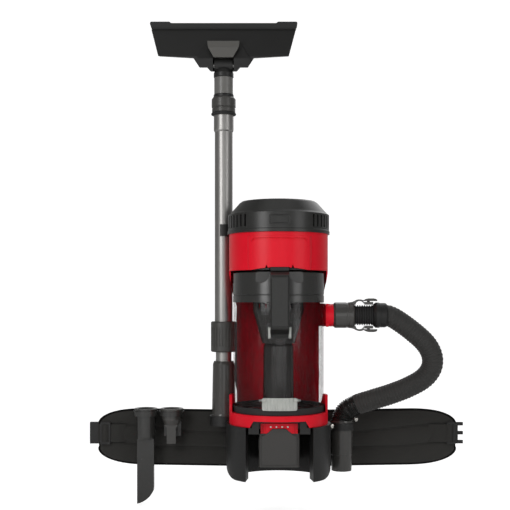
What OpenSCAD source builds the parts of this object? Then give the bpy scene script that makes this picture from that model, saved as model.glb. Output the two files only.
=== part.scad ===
// Backpack vacuum cleaner: canister, harness, hose, telescopic wand and belt tools.
// Units are millimetres. The canister's axis is vertical; -Y is the face away from the wearer.

/* [Canister] */
// Outer radius of the clear dust bin
bin_r = 91; // [84:1:96]
// Wall of the clear dust bin
bin_wall = 2.5; // [1.5:0.5:4]
// Height of the clear dust bin's wall
bin_h = 204; // [160:1:260]
// Height of the collar above the dust bin
collar_h = 59; // [50:1:75]
// Height of the red motor housing
housing_h = 73; // [60:1:100]
// Wall of the red housing and the cap
housing_wall = 3.5; // [2.5:0.5:5]
// Height of the straight band of the exhaust cap
cap_band_h = 38; // [34:1:50]
// Height of the sloping top of the exhaust cap
cap_dome_h = 27; // [18:1:34]
// Width of one exhaust vent slot
vent_w = 4.6; // [3:0.1:6]
// Number of exhaust vent slots on each side
vent_count = 14; // [6:1:15]

/* [Base] */
// Height of the base from its feet to the red skirt
base_h = 104; // [98:1:130]
// Wall of the base shell
base_wall = 5; // [3:0.5:8]
// Half width of the open front between the two feet
base_gap = 60; // [50:1:70]
// Height of the red skirt's side band
skirt_h = 24; // [18:1:30]

/* [Battery] */
// Width of the battery pack
pack_w = 77; // [60:1:90]
// Length of the battery pack, front to back
pack_l = 96; // [70:1:98]
// Height of the battery pack's grey case
pack_h = 66; // [50:1:70]
// Height of the battery pack's red top
pack_top_h = 13; // [10:1:15]

/* [Hose] */
// Outer diameter of the hose
hose_d = 43; // [36:1:46]
// Bore of the hose
hose_bore = 32; // [25:1:33]
// Outer radius of the wall cuff at the inlet
cuff_r = 25.8; // [24:0.1:28]
// Height of the hose inlet above the feet
inlet_z = 319; // [300:1:325]

/* [Wand] */
// Outer radius of the outer wand tube
wand_r = 18.5; // [16:0.5:19.5]
// Wall of both wand tubes
tube_wall = 1.2; // [0.8:0.1:2]
// Length of the outer wand tube
wand_l = 481; // [440:1:600]
// How far the wand telescopes
wand_reach = 350; // [150:5:380]
// Radius of the sliding lock collar
lock_r = 26.5; // [24:0.5:27]

/* [Floor tool] */
// Width of the floor tool's head
head_w = 306; // [240:1:360]
// Depth of the floor tool's head, from bumper to heel
head_d = 105; // [95:1:120]

/* [Harness] */
// Distance from the centre to each end of the waist belt
belt_reach = 377; // [340:1:420]
// Height of the waist belt's padding
belt_h = 117; // [100:1:130]
// Thickness of the waist belt's padding
belt_t = 16; // [12:1:20]
// Length of the crevice tool's blade below its socket
crevice_l = 135; // [100:1:150]

/* [Hidden] */
$fn = 96;

// Clearances
gap = 0.4;      // between parts that slide or turn on each other
seat = 0.3;     // between a part and the curved seat it rests on
cut = 1;        // how far a cutting shape runs past what it cuts

// Levels, measured up from the feet
skirt_z = base_h;
deck_z = skirt_z + skirt_h;              // top of the skirt, under the bin
ring_h = 12.5;                           // the door's ring under the clear wall
bin_z = deck_z + gap;                    // underside of the bin's door
wall_z = bin_z + ring_h;                 // foot of the clear wall
collar_z = wall_z + bin_h;               // foot of the collar
collar_top = collar_z + collar_h;
housing_z = collar_top + 3;              // foot of the motor housing
cap_z = housing_z + housing_h;
cap_top = cap_z + cap_band_h + cap_dome_h;

// Radii round the canister's axis
frame_in = bin_r + 4.5;                  // inner face of the back frame
frame_t = 5.5;
housing_r = bin_r + 7.5;
cap_r = housing_r + 3.5;
base_r = bin_r + 13;
rear_y = 100;                            // flat rear of the frame and base
slide_x = bin_r + 1.2;                   // nothing in front of the axis comes nearer the bin than this

// Harness levels and depths
plate_t = 7;
pad_t = 18;
plate_rear = rear_y + plate_t;
pad_rear = plate_rear + pad_t;
belt_z = 60;                             // centre line of the waist belt
belt_y = plate_rear + belt_t / 2;        // middle of the belt's thickness
hinge_x = 98;                            // where each wing folds at the plate

// Every part is drawn with the feet at z = 0 and then moved so that the origin
// is the middle of the pad's rear face, on the belt's centre line.
module framed() translate([0, -pad_rear, -belt_z]) children();

// ---- Shapes used by several parts ----

function arc(cx, cy, r, from, to, steps) =
    [for (i = [0:steps]) let (a = from + (to - from) * i / steps) [cx + r * cos(a), cy + r * sin(a)]];

// Rounded rectangle, centred, as one outline
module soft_rect(w, h, r, steps = 6) {
    polygon(concat(
        arc(w / 2 - r, h / 2 - r, r, 0, 90, steps), arc(-w / 2 + r, h / 2 - r, r, 90, 180, steps),
        arc(-w / 2 + r, -h / 2 + r, r, 180, 270, steps), arc(w / 2 - r, -h / 2 + r, r, 270, 360, steps)));
}

// Outline drawn in X and Z, given thickness from y0 to y1
module upright(y0, y1) translate([0, y1, 0]) rotate([90, 0, 0]) linear_extrude(y1 - y0) children();

// Outline drawn in Y and Z, given thickness from x0 to x1
module side_on(x0, x1) translate([x0, 0, 0]) rotate([90, 0, 90]) linear_extrude(x1 - x0) children();

module ring(r_out, r_in, h) difference() {
    cylinder(r = r_out, h = h);
    translate([0, 0, -cut]) cylinder(r = r_in, h = h + 2 * cut);
}

// Turned part whose axis runs along +X from x = 0
module along_x() rotate([0, 90, 0]) children();

module mirrored_x() {
    children();
    mirror([1, 0, 0]) children();
}

// Closed skin over rings of equal point count, with flat ends
module loft(rings) {
    n = len(rings[0]);
    m = len(rings);
    points = [for (r = rings) for (p = r) p];
    walls = [for (i = [0:m - 2]) for (j = [0:n - 1]) let (k = (j + 1) % n)
        each [[i * n + j, i * n + k, (i + 1) * n + k], [i * n + j, (i + 1) * n + k, (i + 1) * n + j]]];
    first = [for (j = [1:n - 2]) [0, j + 1, j]];
    last = [for (j = [1:n - 2]) [(m - 1) * n, (m - 1) * n + j, (m - 1) * n + j + 1]];
    polyhedron(points = points, faces = concat(walls, first, last));
}

// Colours
red = "#c50d22";
black = "#2b2b2a";
dark = "#3a3a38";
grey = "#555451";
metal = "#b9b8b4";

// ---- Exhaust cap ----

vent_pitch = 6.6;                        // degrees between slots
vent_first = 41;                         // degrees from the front to the first slot
badge_w = 39;
badge_h = 18;
badge_groove = 3;                        // width of the groove round the plain badge

module exhaust_cap() framed() color(dark) difference() {
    translate([0, 0, cap_z]) rotate_extrude() polygon([
        [housing_r - housing_wall, 0], [cap_r, 0], [cap_r, 6], [cap_r - 1, 7], [cap_r - 1, cap_band_h],
        [cap_r - 6, cap_band_h + 4], [cap_r - 24, cap_band_h + cap_dome_h - 3],
        [cap_r - 28, cap_band_h + cap_dome_h], [cap_r - 36, cap_band_h + cap_dome_h],
        [cap_r - 44, cap_band_h + cap_dome_h - 6], [0, cap_band_h + cap_dome_h - 8],
        [0, cap_band_h + cap_dome_h - 12], [cap_r - 42, cap_band_h + cap_dome_h - 10],
        [cap_r - 34, cap_band_h + cap_dome_h - 5], [cap_r - 28, cap_band_h + cap_dome_h - 5],
        [cap_r - 10, cap_band_h + 2], [cap_r - 5, cap_band_h - 2], [cap_r - 5, 6], [housing_r - housing_wall, 4]]);
    for (side = [0, 1], i = [0:vent_count - 1])
        mirror([side, 0, 0]) rotate([0, 0, vent_first + i * vent_pitch]) rotate([0, 0, -90])
            translate([cap_r - 12, -vent_w / 2, cap_z + 11]) cube([20, vent_w, 24]);
    upright(-cap_r - cut, -cap_r + 4) translate([0, cap_z + 23]) difference() {
        soft_rect(badge_w, badge_h, 3);
        soft_rect(badge_w - 2 * badge_groove, badge_h - 2 * badge_groove, 1.5);
    }
}

// ---- Motor housing ----

arch = 5;                                // how far the front edge rises at the centre
button_w = 36;                           // release button under the front edge
button_h = 7;
button_z = housing_z + 1.4;              // its centre

panel_t = 2.6;                           // how far the front panel stands proud
panel_top = housing_h - 8;

// Outline of the raised front panel, seen from the front
module housing_front(grow = 0) polygon([
    [-60 - grow, 0], [-66 - grow, panel_top - 4], [-62, panel_top + grow], [62, panel_top + grow],
    [66 + grow, panel_top - 4], [60 + grow, 0]]);

// The panel in plan: its flanks slope back to the round wall
module housing_panel() intersection() {
    translate([0, 0, housing_z]) ring(housing_r + panel_t, housing_r - 1, housing_h);
    translate([0, 0, housing_z]) linear_extrude(housing_h) polygon([
        [-69, -66], [-57.5, -83.6], [-57.5, -120], [57.5, -120], [57.5, -83.6], [69, -66], [60, -50], [-60, -50]]);
    upright(-cap_r - 10, 0) translate([0, housing_z]) housing_front();
}

module motor_housing() framed() color(red) difference() {
    union() {
        translate([0, 0, housing_z]) ring(housing_r, housing_r - housing_wall, housing_h);
        housing_panel();
    }
    // groove along the panel's top and its short returns
    intersection() {
        translate([0, 0, housing_z]) ring(housing_r + 10, housing_r + 0.4, housing_h);
        upright(-cap_r - 10, 0) translate([0, housing_z]) polygon([
            [-54, panel_top - 10], [-49, panel_top - 4], [49, panel_top - 4], [54, panel_top - 10],
            [51, panel_top - 10], [47, panel_top - 6.4], [-47, panel_top - 6.4], [-51, panel_top - 10]]);
    }
    // the front edge arches over the bin's collar
    translate([0, 0, housing_z - 300 + arch]) rotate([90, 0, 0]) cylinder(r = 300, h = cap_r + 10, $fn = 180);
    for (side = [-1, 1]) upright(-cap_r - 10, -60) translate([side * 25, housing_z + arch])
        polygon([[-3, -3], [3, -3], [0, 5]]);
    upright(-cap_r - 10, -60) translate([0, button_z - 20 + button_h / 2 + gap])
        square([button_w + 2 * gap, 40], center = true);
}

module motor_deck() framed() color(black) difference() {
    translate([0, 0, housing_z]) union() {
        cylinder(r = housing_r - housing_wall - seat, h = 4);
        ring(46, 42.5, 16);
    }
    translate([0, 0, housing_z - cut]) cylinder(r = 30, h = 8);
    upright(-cap_r, -84) translate([0, housing_z]) square([button_w + 4, 30], center = true);
}

shaft_r = 2.2;

module motor() framed() color(metal) translate([0, 0, housing_z + 4]) {
    difference() {
        union() {
            cylinder(r = 42, h = 34);
            translate([0, 0, 34]) cylinder(r = 30, h = 14);
        }
        translate([0, 0, -cut]) cylinder(r = 34, h = 22 + cut);
        for (i = [0:7]) rotate([0, 0, i * 45]) translate([35, -5, 25]) cube([12, 10, 6]);
    }
    translate([0, 0, 5]) cylinder(r = shaft_r, h = 18);
}

impeller_z = housing_z + 6;

module impeller() framed() color(grey) translate([0, 0, impeller_z]) {
    difference() {
        union() {
            cylinder(r = 31, h = 2);
            cylinder(r = 8, h = 14);
            for (i = [0:8]) rotate([0, 0, i * 40]) translate([6, -1, 0]) cube([24, 2, 12]);
        }
        translate([0, 0, -cut]) cylinder(r = shaft_r + seat, h = 20);
    }
}

module release_button() framed() color(black)
    upright(-housing_r - 1.5, -housing_r + 5.5) translate([0, button_z]) soft_rect(button_w, button_h, 2.5);

// ---- Back frame, skirt, base ----

frame_half = 84;                         // half width of the frame behind the bin

module behind(y0) translate([-300, y0, -100]) cube([600, 600, 1200]);

// What may stand forward of the axis: only what clears the bin as it slides out
module beside_bin(y0) mirrored_x() translate([slide_x, y0, -100]) cube([300, 600, 1200]);

module frame_outline() polygon([
    [-frame_half, 0], [-frame_half, collar_z - 10], [-frame_in + 3, collar_z + 20],
    [-housing_r, housing_z - 4], [-housing_r, housing_z], [housing_r, housing_z],
    [housing_r, housing_z - 4], [frame_in - 3, collar_z + 20], [frame_half, collar_z - 10], [frame_half, 0]]);

module back_frame() framed() color(red) difference() {
    intersection() {
        translate([0, 0, deck_z]) ring(frame_in + frame_t, frame_in, housing_z - deck_z);
        upright(0, rear_y) frame_outline();
    }
    translate([-100, rear_y, 0]) cube([200, 20, 600]);
    // relief behind the door's knuckles
    translate([-22, 80, bin_z - 1]) cube([44, 16.5, 14]);
}

fin_h = 32;                              // how far the skirt's side fins rise beside the bin

module base_skirt() framed() color(red) {
    difference() {
        translate([0, 0, skirt_z]) ring(housing_r, housing_r - 5, skirt_h);
        upright(-cap_r, -20) polygon([
            [-58, skirt_z - cut], [-50, skirt_z + 13], [50, skirt_z + 13], [58, skirt_z - cut]]);
    }
    translate([0, 0, deck_z - 5]) cylinder(r = housing_r - 5, h = 5);
    intersection() {
        translate([0, 0, deck_z]) ring(housing_r, bin_r + 2, fin_h);
        union() {
            behind(8);
            beside_bin(-34);
        }
        side_on(-cap_r, cap_r) polygon([[-34, 0], [-34, deck_z], [-8, deck_z + fin_h], [22, deck_z + fin_h],
            [40, deck_z], [40, 0]]);
    }
}

wall_y = 46;                             // inner wall behind the battery, at its middle
wall_r = 100;                            // its curve
leg_turn = 5;                            // how far each front leg's return slants inwards
leg_front = 1.5 - sqrt(pow(base_r, 2) - pow(base_gap + leg_turn + base_wall, 2));

module inner_curve(r) translate([0, wall_y - wall_r, -cut]) cylinder(r = r, h = cap_z);
shelf_z = base_h - 13;                   // underside of the dock

module base_shell() framed() color(dark) difference() {
    intersection() {
        union() {
            difference() {
                ring(base_r, base_r - base_wall, base_h);
                translate([-base_gap - leg_turn, -base_r - cut, -cut])
                    cube([2 * (base_gap + leg_turn), base_r, base_h + 2 * cut]);
            }
            // the two front legs turn inwards
            mirrored_x() linear_extrude(base_h) translate([base_gap, leg_front]) polygon([
                [leg_turn, 0], [leg_turn + base_wall, 0], [base_wall, 34], [0, 34]]);
            translate([0, 0, base_h - 4]) ring(base_r - 1, housing_r - 5, 4);
            intersection() {
                cylinder(r = base_r - 1, h = base_h);
                behind(-24);
                difference() {
                    inner_curve(wall_r + 4);
                    inner_curve(wall_r);
                }
            }
        }
        upright(-base_r - cut, base_r + cut) translate([0, base_h]) soft_rect(2 * base_r, 2 * base_h, 20);
    }
    translate([-base_r, rear_y, -cut]) cube([2 * base_r, 20, base_h + 2 * cut]);
    translate([-base_gap - leg_turn, -base_r - cut, base_h - 6]) cube([2 * (base_gap + leg_turn), 36, 8]);
}

rail_w = 50;                             // width of the battery's rail
rail_h = 6;
pack_front = -62;                        // front face of the battery
dock_front = -76;
fascia_t = 3;                            // the battery's red front plate
fascia_h = 19.5;

module battery_dock() framed() color(black) {
    difference() {
        dock_block();
        dock_pocket();
    }
    // tongues that the battery's grooves run on, behind its front plate
    mirrored_x() translate([rail_w / 2 - 2.6, pack_front + fascia_t + 1, shelf_z + pack_top_h - 1 + gap])
        cube([4, dock_front + pack_l + 14 - pack_front - fascia_t - 1, 3 - 2 * gap]);
}

module dock_block() difference() {
    union() {
        translate([-base_gap + gap, dock_front, shelf_z]) cube([2 * (base_gap - gap), wall_y - dock_front, 13 + 12.6]);
        translate([-30, wall_y - 6, shelf_z - 34]) cube([60, 6, 34]);
    }
    translate([0, 0, shelf_z + 12.5]) difference() {
        cylinder(r = 200, h = 40);
        translate([0, 0, -1]) cylinder(r = housing_r - 6, h = 42);
    }
    translate([-100, -100, deck_z - 5]) cube([200, 200, 20]);
    difference() {
        behind(0);
        inner_curve(wall_r - seat);
    }
}

// Pocket that the battery's top and rail slide into
module dock_pocket() {
    translate([-pack_w / 2 - 1, dock_front - cut, shelf_z - cut]) cube([pack_w + 2, pack_l + 16, 8 + cut]);
    translate([-rail_w / 2 - 1, dock_front - cut, shelf_z]) cube([rail_w + 2, pack_l + 16, 22]);
    translate([-pack_w / 2 - 1, dock_front - cut, shelf_z - cut])
        cube([pack_w + 2, pack_front + fascia_t + 1 - dock_front + cut, fascia_h + 2 + cut]);
}

// ---- Battery ----

pack_z = shelf_z - pack_h;               // underside of the battery
top_inset = 2.5;
rail_groove = 4;                         // depth of the groove along each side of the rail

// Raised tongue on the battery's front face
module tongue(grow) translate([0, pack_z]) polygon([
    [-34, 5], [-34, pack_h - 4], [-27 - grow, pack_h - 3], [-22 - grow, pack_h + 1],
    [-12.5 - grow, pack_h + 9 + grow], [12.5 + grow, pack_h + 9 + grow], [22 + grow, pack_h + 1],
    [27 + grow, pack_h - 3], [34, pack_h - 4], [34, 5]]);

// Place of a release button on the battery's right side
press_in = 1.5;
module side_button(grow) translate([pack_w / 2 - 1.6 - grow * 5, pack_front + 18 - grow, pack_z + pack_h - 34 - grow])
    cube([4 + grow * 5, 26 + 2 * grow, 20 + 2 * grow]);

module battery_case() framed() color(grey) difference() {
    union() {
        translate([0, 0, pack_z]) linear_extrude(pack_h - gap) translate([0, pack_front + pack_l / 2])
            soft_rect(pack_w, pack_l, 6);
        // the case is a little wider at its front
        translate([0, 0, pack_z]) linear_extrude(pack_h - gap) translate([0, pack_front + 6])
            soft_rect(pack_w + 2.4, 12, 4);
        upright(pack_front - 2.5, pack_front + 6) tongue(0);
    }
    mirrored_x() side_button(gap);
}

module battery_top() framed() color(red) difference() {
    union() {
        translate([-pack_w / 2 + top_inset, pack_front, shelf_z - gap])
            cube([pack_w - 2 * top_inset, pack_l, pack_top_h - 6]);
        translate([-rail_w / 2 + 1, pack_front + 2, shelf_z]) cube([rail_w - 2, pack_l - 4, pack_top_h + rail_h]);
        upright(pack_front, pack_front + fascia_t) translate([0, shelf_z - gap + fascia_h / 2])
            soft_rect(pack_w - 2 * top_inset, fascia_h, 1.5);
        mirrored_x() translate([27.5, pack_front - 1.2, shelf_z + 2]) cube([2.6, 2, fascia_h - 5]);
    }
    upright(pack_front - 4, pack_front + 6.2) tongue(0.2);
    for (side = [-1, 1]) translate([side * (rail_w / 2), 0, shelf_z + pack_top_h - 1])
        translate([-rail_groove, pack_front + fascia_t + 0.2, 0]) cube([2 * rail_groove, pack_l, 3]);
}

module battery_gauge() framed() color("white")
    for (i = [0:3]) translate([(i - 1.5) * 11, pack_front, shelf_z + 12.5]) rotate([90, 0, 0])
        cylinder(r = 1.7, h = 1.2);

module battery_button() difference() {
    side_button(0);
    for (i = [0:3]) translate([pack_w / 2 + 1.8, pack_front + 22 + i * 5, pack_z + pack_h - 35]) cube([2, 2, 22]);
}
module battery_button_left() framed() color(red) mirror([1, 0, 0]) battery_button();
module battery_button_right() framed() color(red) battery_button();

// ---- Dust bin ----

inlet_r = 19;
groove_z = collar_z + 13;

latch_w = 67;
latch_h = 24;
latch_z = bin_z + 10;
latch_pivot_z = latch_z + latch_h - 4;
latch_pivot_y = -bin_r - 4;
trunnion_r = 2;

module bin_shell() framed() color([0.85, 0.88, 0.88, 0.35]) difference() {
    union() {
        translate([0, 0, wall_z]) ring(bin_r, bin_r - bin_wall, bin_h);
        mirrored_x() translate([latch_w / 2 + gap, latch_pivot_y - 3.5, latch_pivot_z - 5]) cube([4, 16, 10]);
    }
    translate([0, 0, inlet_z]) along_x() cylinder(r = inlet_r, h = bin_r + 5);
    translate([-50, latch_pivot_y, latch_pivot_z]) along_x() cylinder(r = trunnion_r + seat, h = 100);
    translate([0, 0, wall_z - cut]) cylinder(r = bin_r - bin_wall, h = bin_h + 2 * cut);
}

module bin_collar() framed() color(dark) difference() {
    translate([0, 0, collar_z]) rotate_extrude() polygon([
        [54, 0], [bin_r, 0], [bin_r, groove_z - collar_z], [bin_r - 1.2, groove_z - collar_z + 0.6],
        [bin_r - 1.2, groove_z - collar_z + 2], [bin_r, groove_z - collar_z + 2.6], [bin_r, collar_h - 2],
        [bin_r - 2, collar_h], [80, collar_h], [80, collar_h - 20], [86, collar_h - 26], [86, 4], [54, 4]]);
    for (side = [-1, 1]) translate([side * 37, 0, collar_top - 3]) rotate([90, 0, 0])
        translate([0, 0, 79]) cylinder(r = 18.5, h = 20);
}

handle_w = 35;
handle_y = -bin_r - 26;                  // front face of the handle's bar
handle_foot = collar_z - 51;

module bin_handle() framed() color(grey) difference() {
    intersection() {
        side_on(-handle_w / 2, handle_w / 2) handle_profile();
        // bevelled long edges
        linear_extrude(cap_z) polygon([
            [-handle_w / 2, 0], [-handle_w / 2, handle_y + 3], [-handle_w / 2 + 3, handle_y - 0.1],
            [handle_w / 2 - 3, handle_y - 0.1], [handle_w / 2, handle_y + 3], [handle_w / 2, 0]]);
    }
    cylinder(r = bin_r + seat, h = cap_z);
}
module handle_profile() polygon(concat(
    [[-bin_r + 0.5, collar_top - 2], [-bin_r - 12, collar_top - 1]],
    arc(handle_y + 10, collar_top - 14, 10, 100, 180, 5),
    [[handle_y, handle_foot + 6], [handle_y + 4, handle_foot], [-bin_r - 6, handle_foot],
     [-bin_r - 6, handle_foot + 12], [handle_y + 9, handle_foot + 15], [handle_y + 9, collar_top - 18],
     [-bin_r + 2.5, collar_top - 12], [-bin_r + 1, collar_top - 12]]));

module handle_catch() framed() color(black) {
    difference() {
        intersection() {
            translate([0, 0, handle_foot - 19]) ring(bin_r + 5.6, bin_r + seat, 31);
            upright(-cap_r, 0) translate([0, handle_foot - 3.5]) soft_rect(50, 30, 5);
        }
        upright(-cap_r - cut, -bin_r - 2.6) translate([0, handle_foot - 8]) soft_rect(30, 14, 3);
    }
    side_on(-handle_w / 2, handle_w / 2) polygon([[-bin_r - 5, handle_foot - 0.1], [handle_y + 5, handle_foot - 0.1],
        [-bin_r - 9, handle_foot - 8], [-bin_r - 5, handle_foot - 10]]);
}

bucket_r = 51;
bucket_low_r = 33;
bucket_h = 82;
tube_r = 31;
rib_z = wall_z + 10;                     // foot of the separator tube

module separator_bucket() framed() color(black) translate([0, 0, collar_z - bucket_h]) difference() {
    rotate_extrude() polygon([
        [bucket_low_r - 6, 0], [bucket_low_r, 0], [bucket_r, bucket_h - 16], [bucket_r, bucket_h],
        [bucket_r + 3, bucket_h], [bucket_r + 3, bucket_h + 4], [bucket_r - 2, bucket_h + 4],
        [bucket_r - 2, bucket_h - 16], [bucket_low_r - 2, 3], [bucket_low_r - 6, 3]]);
    for (i = [0:17]) rotate([0, 0, i * 20]) translate([30, -2, bucket_h - 12]) cube([30, 4, 9]);
}

module cyclone_tube() framed() color(dark) translate([0, 0, rib_z]) rotate_extrude() polygon([
    [tube_r - 2, 0], [tube_r, 0], [tube_r - 1, collar_z - bucket_h - rib_z - 6],
    [bucket_low_r - 6, collar_z - bucket_h - rib_z], [bucket_low_r - 8, collar_z - bucket_h - rib_z],
    [tube_r - 3, collar_z - bucket_h - rib_z - 8]]);

pleats = 36;

module filter() framed() color("white") translate([0, 0, collar_z + 4]) difference() {
    union() {
        cylinder(r = 70, h = 4);
        linear_extrude(36) polygon([for (i = [0:2 * pleats - 1]) let (r = (i % 2 == 0) ? 66 : 58)
            [r * cos(i * 180 / pleats), r * sin(i * 180 / pleats)]]);
        translate([0, 0, 36]) cylinder(r = 70, h = 4);
    }
    translate([0, 0, -cut]) cylinder(r = 46, h = 50);
}

pin_r = 1.6;
pin_y = bin_r - 0.4;
pin_z = bin_z + 4;

module door_ring() framed() color(black) difference() {
    translate([0, 0, bin_z]) ring(bin_r + 0.8, bin_r - 4, ring_h);
    translate([-20 - gap, 60, bin_z - cut]) cube([40 + 2 * gap, 60, 9 + cut]);
    translate([-30, pin_y, pin_z]) along_x() cylinder(r = pin_r + 0.02, h = 60);
}

module bin_door() framed() color(dark) difference() {
    union() {
        translate([0, 0, bin_z]) cylinder(r = bin_r - 4 - gap, h = 4);
        translate([0, 0, bin_z + 4]) ring(bin_r - 6, bin_r - 9, 5);
        for (side = [-1, 1]) translate([side * 12 - 7, pin_y, pin_z]) along_x() cylinder(r = 3.6, h = 14);
        for (side = [-1, 1]) translate([side * 12 - 7, 80, bin_z]) cube([14, pin_y - 80, 4]);
    }
    translate([-30, pin_y, pin_z]) along_x() cylinder(r = pin_r, h = 60);
}

module door_pin() framed() color(metal) translate([-21, pin_y, pin_z]) along_x() cylinder(r = pin_r, h = 42);

module door_latch() framed() color([0.9, 0.9, 0.88, 0.6]) {
    intersection() {
        union() {
            translate([0, 0, latch_z]) ring(bin_r + 6, bin_r + 2, latch_h);
            for (i = [-5:5]) rotate([0, 0, i * 3.6]) translate([-0.9, -bin_r - 7.2, latch_z]) cube([1.8, 3, latch_h]);
        }
        upright(-cap_r, 0) translate([0, latch_z + latch_h / 2]) soft_rect(latch_w, latch_h, 3);
    }
    // trunnions, each on a boss at the end of the curved plate
    mirrored_x() {
        translate([latch_w / 2 - 6, latch_pivot_y, latch_pivot_z]) along_x() cylinder(r = trunnion_r, h = 9.5);
        translate([latch_w / 2 - 7, latch_pivot_y, latch_pivot_z]) along_x() cylinder(r = 3.4, h = 7);
    }
}

// ---- Inlet, hose and its quick connector ----

module inlet_port() framed() color(red) difference() {
    union() {
        translate([bin_r + 2, 0, inlet_z]) along_x() cylinder(r = 22.7, h = 16);
        // cheek that carries the port from the back frame
        intersection() {
            translate([0, 0, inlet_z - 24]) ring(frame_in + frame_t - 1, frame_in, 48);
            translate([frame_half - 20, -16, inlet_z - 30]) cube([60, 76, 60]);
            upright(-100, 100) translate([0, inlet_z]) square([300, 46], center = true);
        }
    }
    translate([bin_r, 0, inlet_z]) along_x() cylinder(r = inlet_r, h = 40);
    intersection() {
        translate([0, 0, deck_z]) ring(frame_in + frame_t + 1, frame_in - 1, 300);
        upright(0, rear_y) offset(delta = seat) frame_outline();
        behind(2);
    }
}

cuff_x = bin_r + 18;                     // where the cuff meets the port
cuff_l = 42;
yoke_l = 96;                             // cuff's end to the sleeve's end
arm_z = 26.5;                            // where each button sits, from the hose's axis
button_x = cuff_x + cuff_l + 33;
stem_x = button_x - 4;

module hose_connector() framed() color(black) translate([cuff_x, 0, inlet_z]) difference() {
    union() {
        along_x() rotate_extrude() polygon([
            [inlet_r, 0], [22, 0], [cuff_r, 4], [cuff_r, 26], [cuff_r - 0.8, 27], [cuff_r - 0.8, 31],
            [cuff_r, 32], [cuff_r, cuff_l - 3], [cuff_r - 3, cuff_l], [inlet_r, cuff_l]]);
        for (side = [0, 1]) mirror([0, 0, side]) side_profile_arm();
    }
    translate([stem_x - cuff_x, 0, -50]) cylinder(r = 3.4, h = 100);
}

// One arm of the yoke: a loop off the cuff and a boss under the button, clear of the bellows
module side_profile_arm() translate([cuff_l, 0, 0]) upright(-11, 11) polygon([
    [-12, cuff_r - 0.5], [-2, cuff_r + 1], [2.5, 29], [5, 30.6], [9, 31.6], [14, 31.4], [17.5, 30], [18.5, arm_z],
    [37.3, arm_z], [37.3, 22], [36, 21], [22, 21], [20, 24], [17, 27], [13, 28.2], [8, 28], [5, 26.5], [3, 24],
    [2, 20.6], [-10, cuff_r - 4]]);

button_l = 28;

module hose_button() translate([button_x, 0, inlet_z + arm_z + 1.7]) {
    intersection() {
        linear_extrude(6) soft_rect(button_l, 19, 8);
        upright(-12, 12) polygon([
            [-14, 0], [-13.6, 1.6], [-9, 4.2], [-4, 5.4], [5, 5.4], [10, 4.6], [12.6, 3], [14, 0.6], [14, 0]]);
    }
    translate([stem_x - button_x, 0, -5.4]) cylinder(r = 3, h = 6);
}
module hose_button_upper() framed() color(dark) hose_button();
module hose_button_lower() framed() color(dark) translate([0, 0, 2 * inlet_z]) mirror([0, 0, 1]) hose_button();

bellows_l = 38;
bellows_n = 8;

module hose_bellows() framed() color(black) translate([cuff_x + cuff_l, 0, inlet_z]) along_x()
    rotate_extrude() polygon(concat([[15, 0]],
        [for (i = [0:bellows_n - 1]) let (p = bellows_l / bellows_n)
            each [[17.5, i * p], [17.5, i * p + 0.6], [20, i * p + 1.6], [20, i * p + 3], [17.5, i * p + 4]]],
        [[17.5, bellows_l], [15, bellows_l]]));

sleeve_x = cuff_x + cuff_l + bellows_l;
sleeve_l = 27;

module hose_sleeve_end() framed() color(black) translate([sleeve_x, 0, inlet_z]) along_x() rotate_extrude() polygon([
    [15, 0], [21, 0], [25.3, 5], [25.5, 12], [24.6, 13], [24.6, sleeve_l - 3], [hose_d / 2 + 1.3, sleeve_l],
    [hose_d / 2 + 0.5, 20], [hose_d / 2 + 0.5, 18], [15, 18]]);

cuff_y = 50;
end_cuff_x = 130.6;
end_cuff_h = 103;
hose_in = 18;                            // how deep the hose sits in each cuff

// Route of the hose's centre line, chosen by hand, from the sleeve to the end cuff
HOSE_ROUTE = [
    [198, 0, 319], [207.3, 0, 319], [217.5, 0, 318.6], [231, 0, 313], [248, 0, 302], [268, 0, 287], [290, 0, 267.5],
    [303.5, 2, 249], [309.5, 5, 229], [306, 9, 209], [291, 14, 190], [263, 21, 173], [229, 29, 158.5],
    [192, 36, 146], [161, 43, 135], [140, 48, 122], [131.5, 50, 106], [130.6, 50, 85.2], [130.6, 50, 65]
];
hose_sides = 12;
rib_first = 14.0;                        // where the bare ribbed end starts, counted in route points
ribs = 11;

function unit(v) = v / norm(v);
function on_route(t) = let (
        n = len(HOSE_ROUTE), i = max(1, min(n - 3, floor(t))), f = t - i,
        a = HOSE_ROUTE[i - 1], b = HOSE_ROUTE[i], c = HOSE_ROUTE[i + 1], d = HOSE_ROUTE[i + 2])
    0.5 * ((2 * b) + (c - a) * f + (2 * a - 5 * b + 4 * c - d) * f * f + (3 * b - a - 3 * c + d) * f * f * f);
function hose_ring(t, r) = let (
        c = on_route(t), d = unit(on_route(t + 0.01) - on_route(t - 0.01)),
        a = unit(cross([0, 1, 0], d)), b = cross(d, a))
    [for (j = [0:hose_sides - 1]) let (q = 360 * j / hose_sides) c + r * (cos(q) * a + sin(q) * b)];

hose_last = len(HOSE_ROUTE) - 2;
hose_r = hose_d / 2;
rib_pitch = (hose_last - 0.9 - rib_first) / ribs;
HOSE_STATIONS = concat(
    [for (i = [0:21]) [1 + (rib_first - 1) * i / 21, hose_r]],
    [for (i = [0:ribs - 1]) each [[rib_first + (i + 0.35) * rib_pitch, hose_r - 2.6],
        [rib_first + (i + 0.85) * rib_pitch, hose_r - 0.2]]],
    [[hose_last - 0.8, hose_r - 1.5], [hose_last, hose_r - 1.5]]);

module hose() framed() color(black) {
    m = len(HOSE_STATIONS);
    n = hose_sides;
    rings = concat([for (s = HOSE_STATIONS) hose_ring(s[0], s[1])],
        [for (i = [m - 1:-1:0]) hose_ring(HOSE_STATIONS[i][0], hose_bore / 2)]);
    polyhedron(points = [for (r = rings) for (p = r) p],
        faces = [for (i = [0:2 * m - 1]) for (j = [0:n - 1])
            let (k = (j + 1) % n, u = i * n, v = ((i + 1) % (2 * m)) * n)
            each [[u + j, u + k, v + k], [u + j, v + k, v + j]]]);
}

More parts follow.
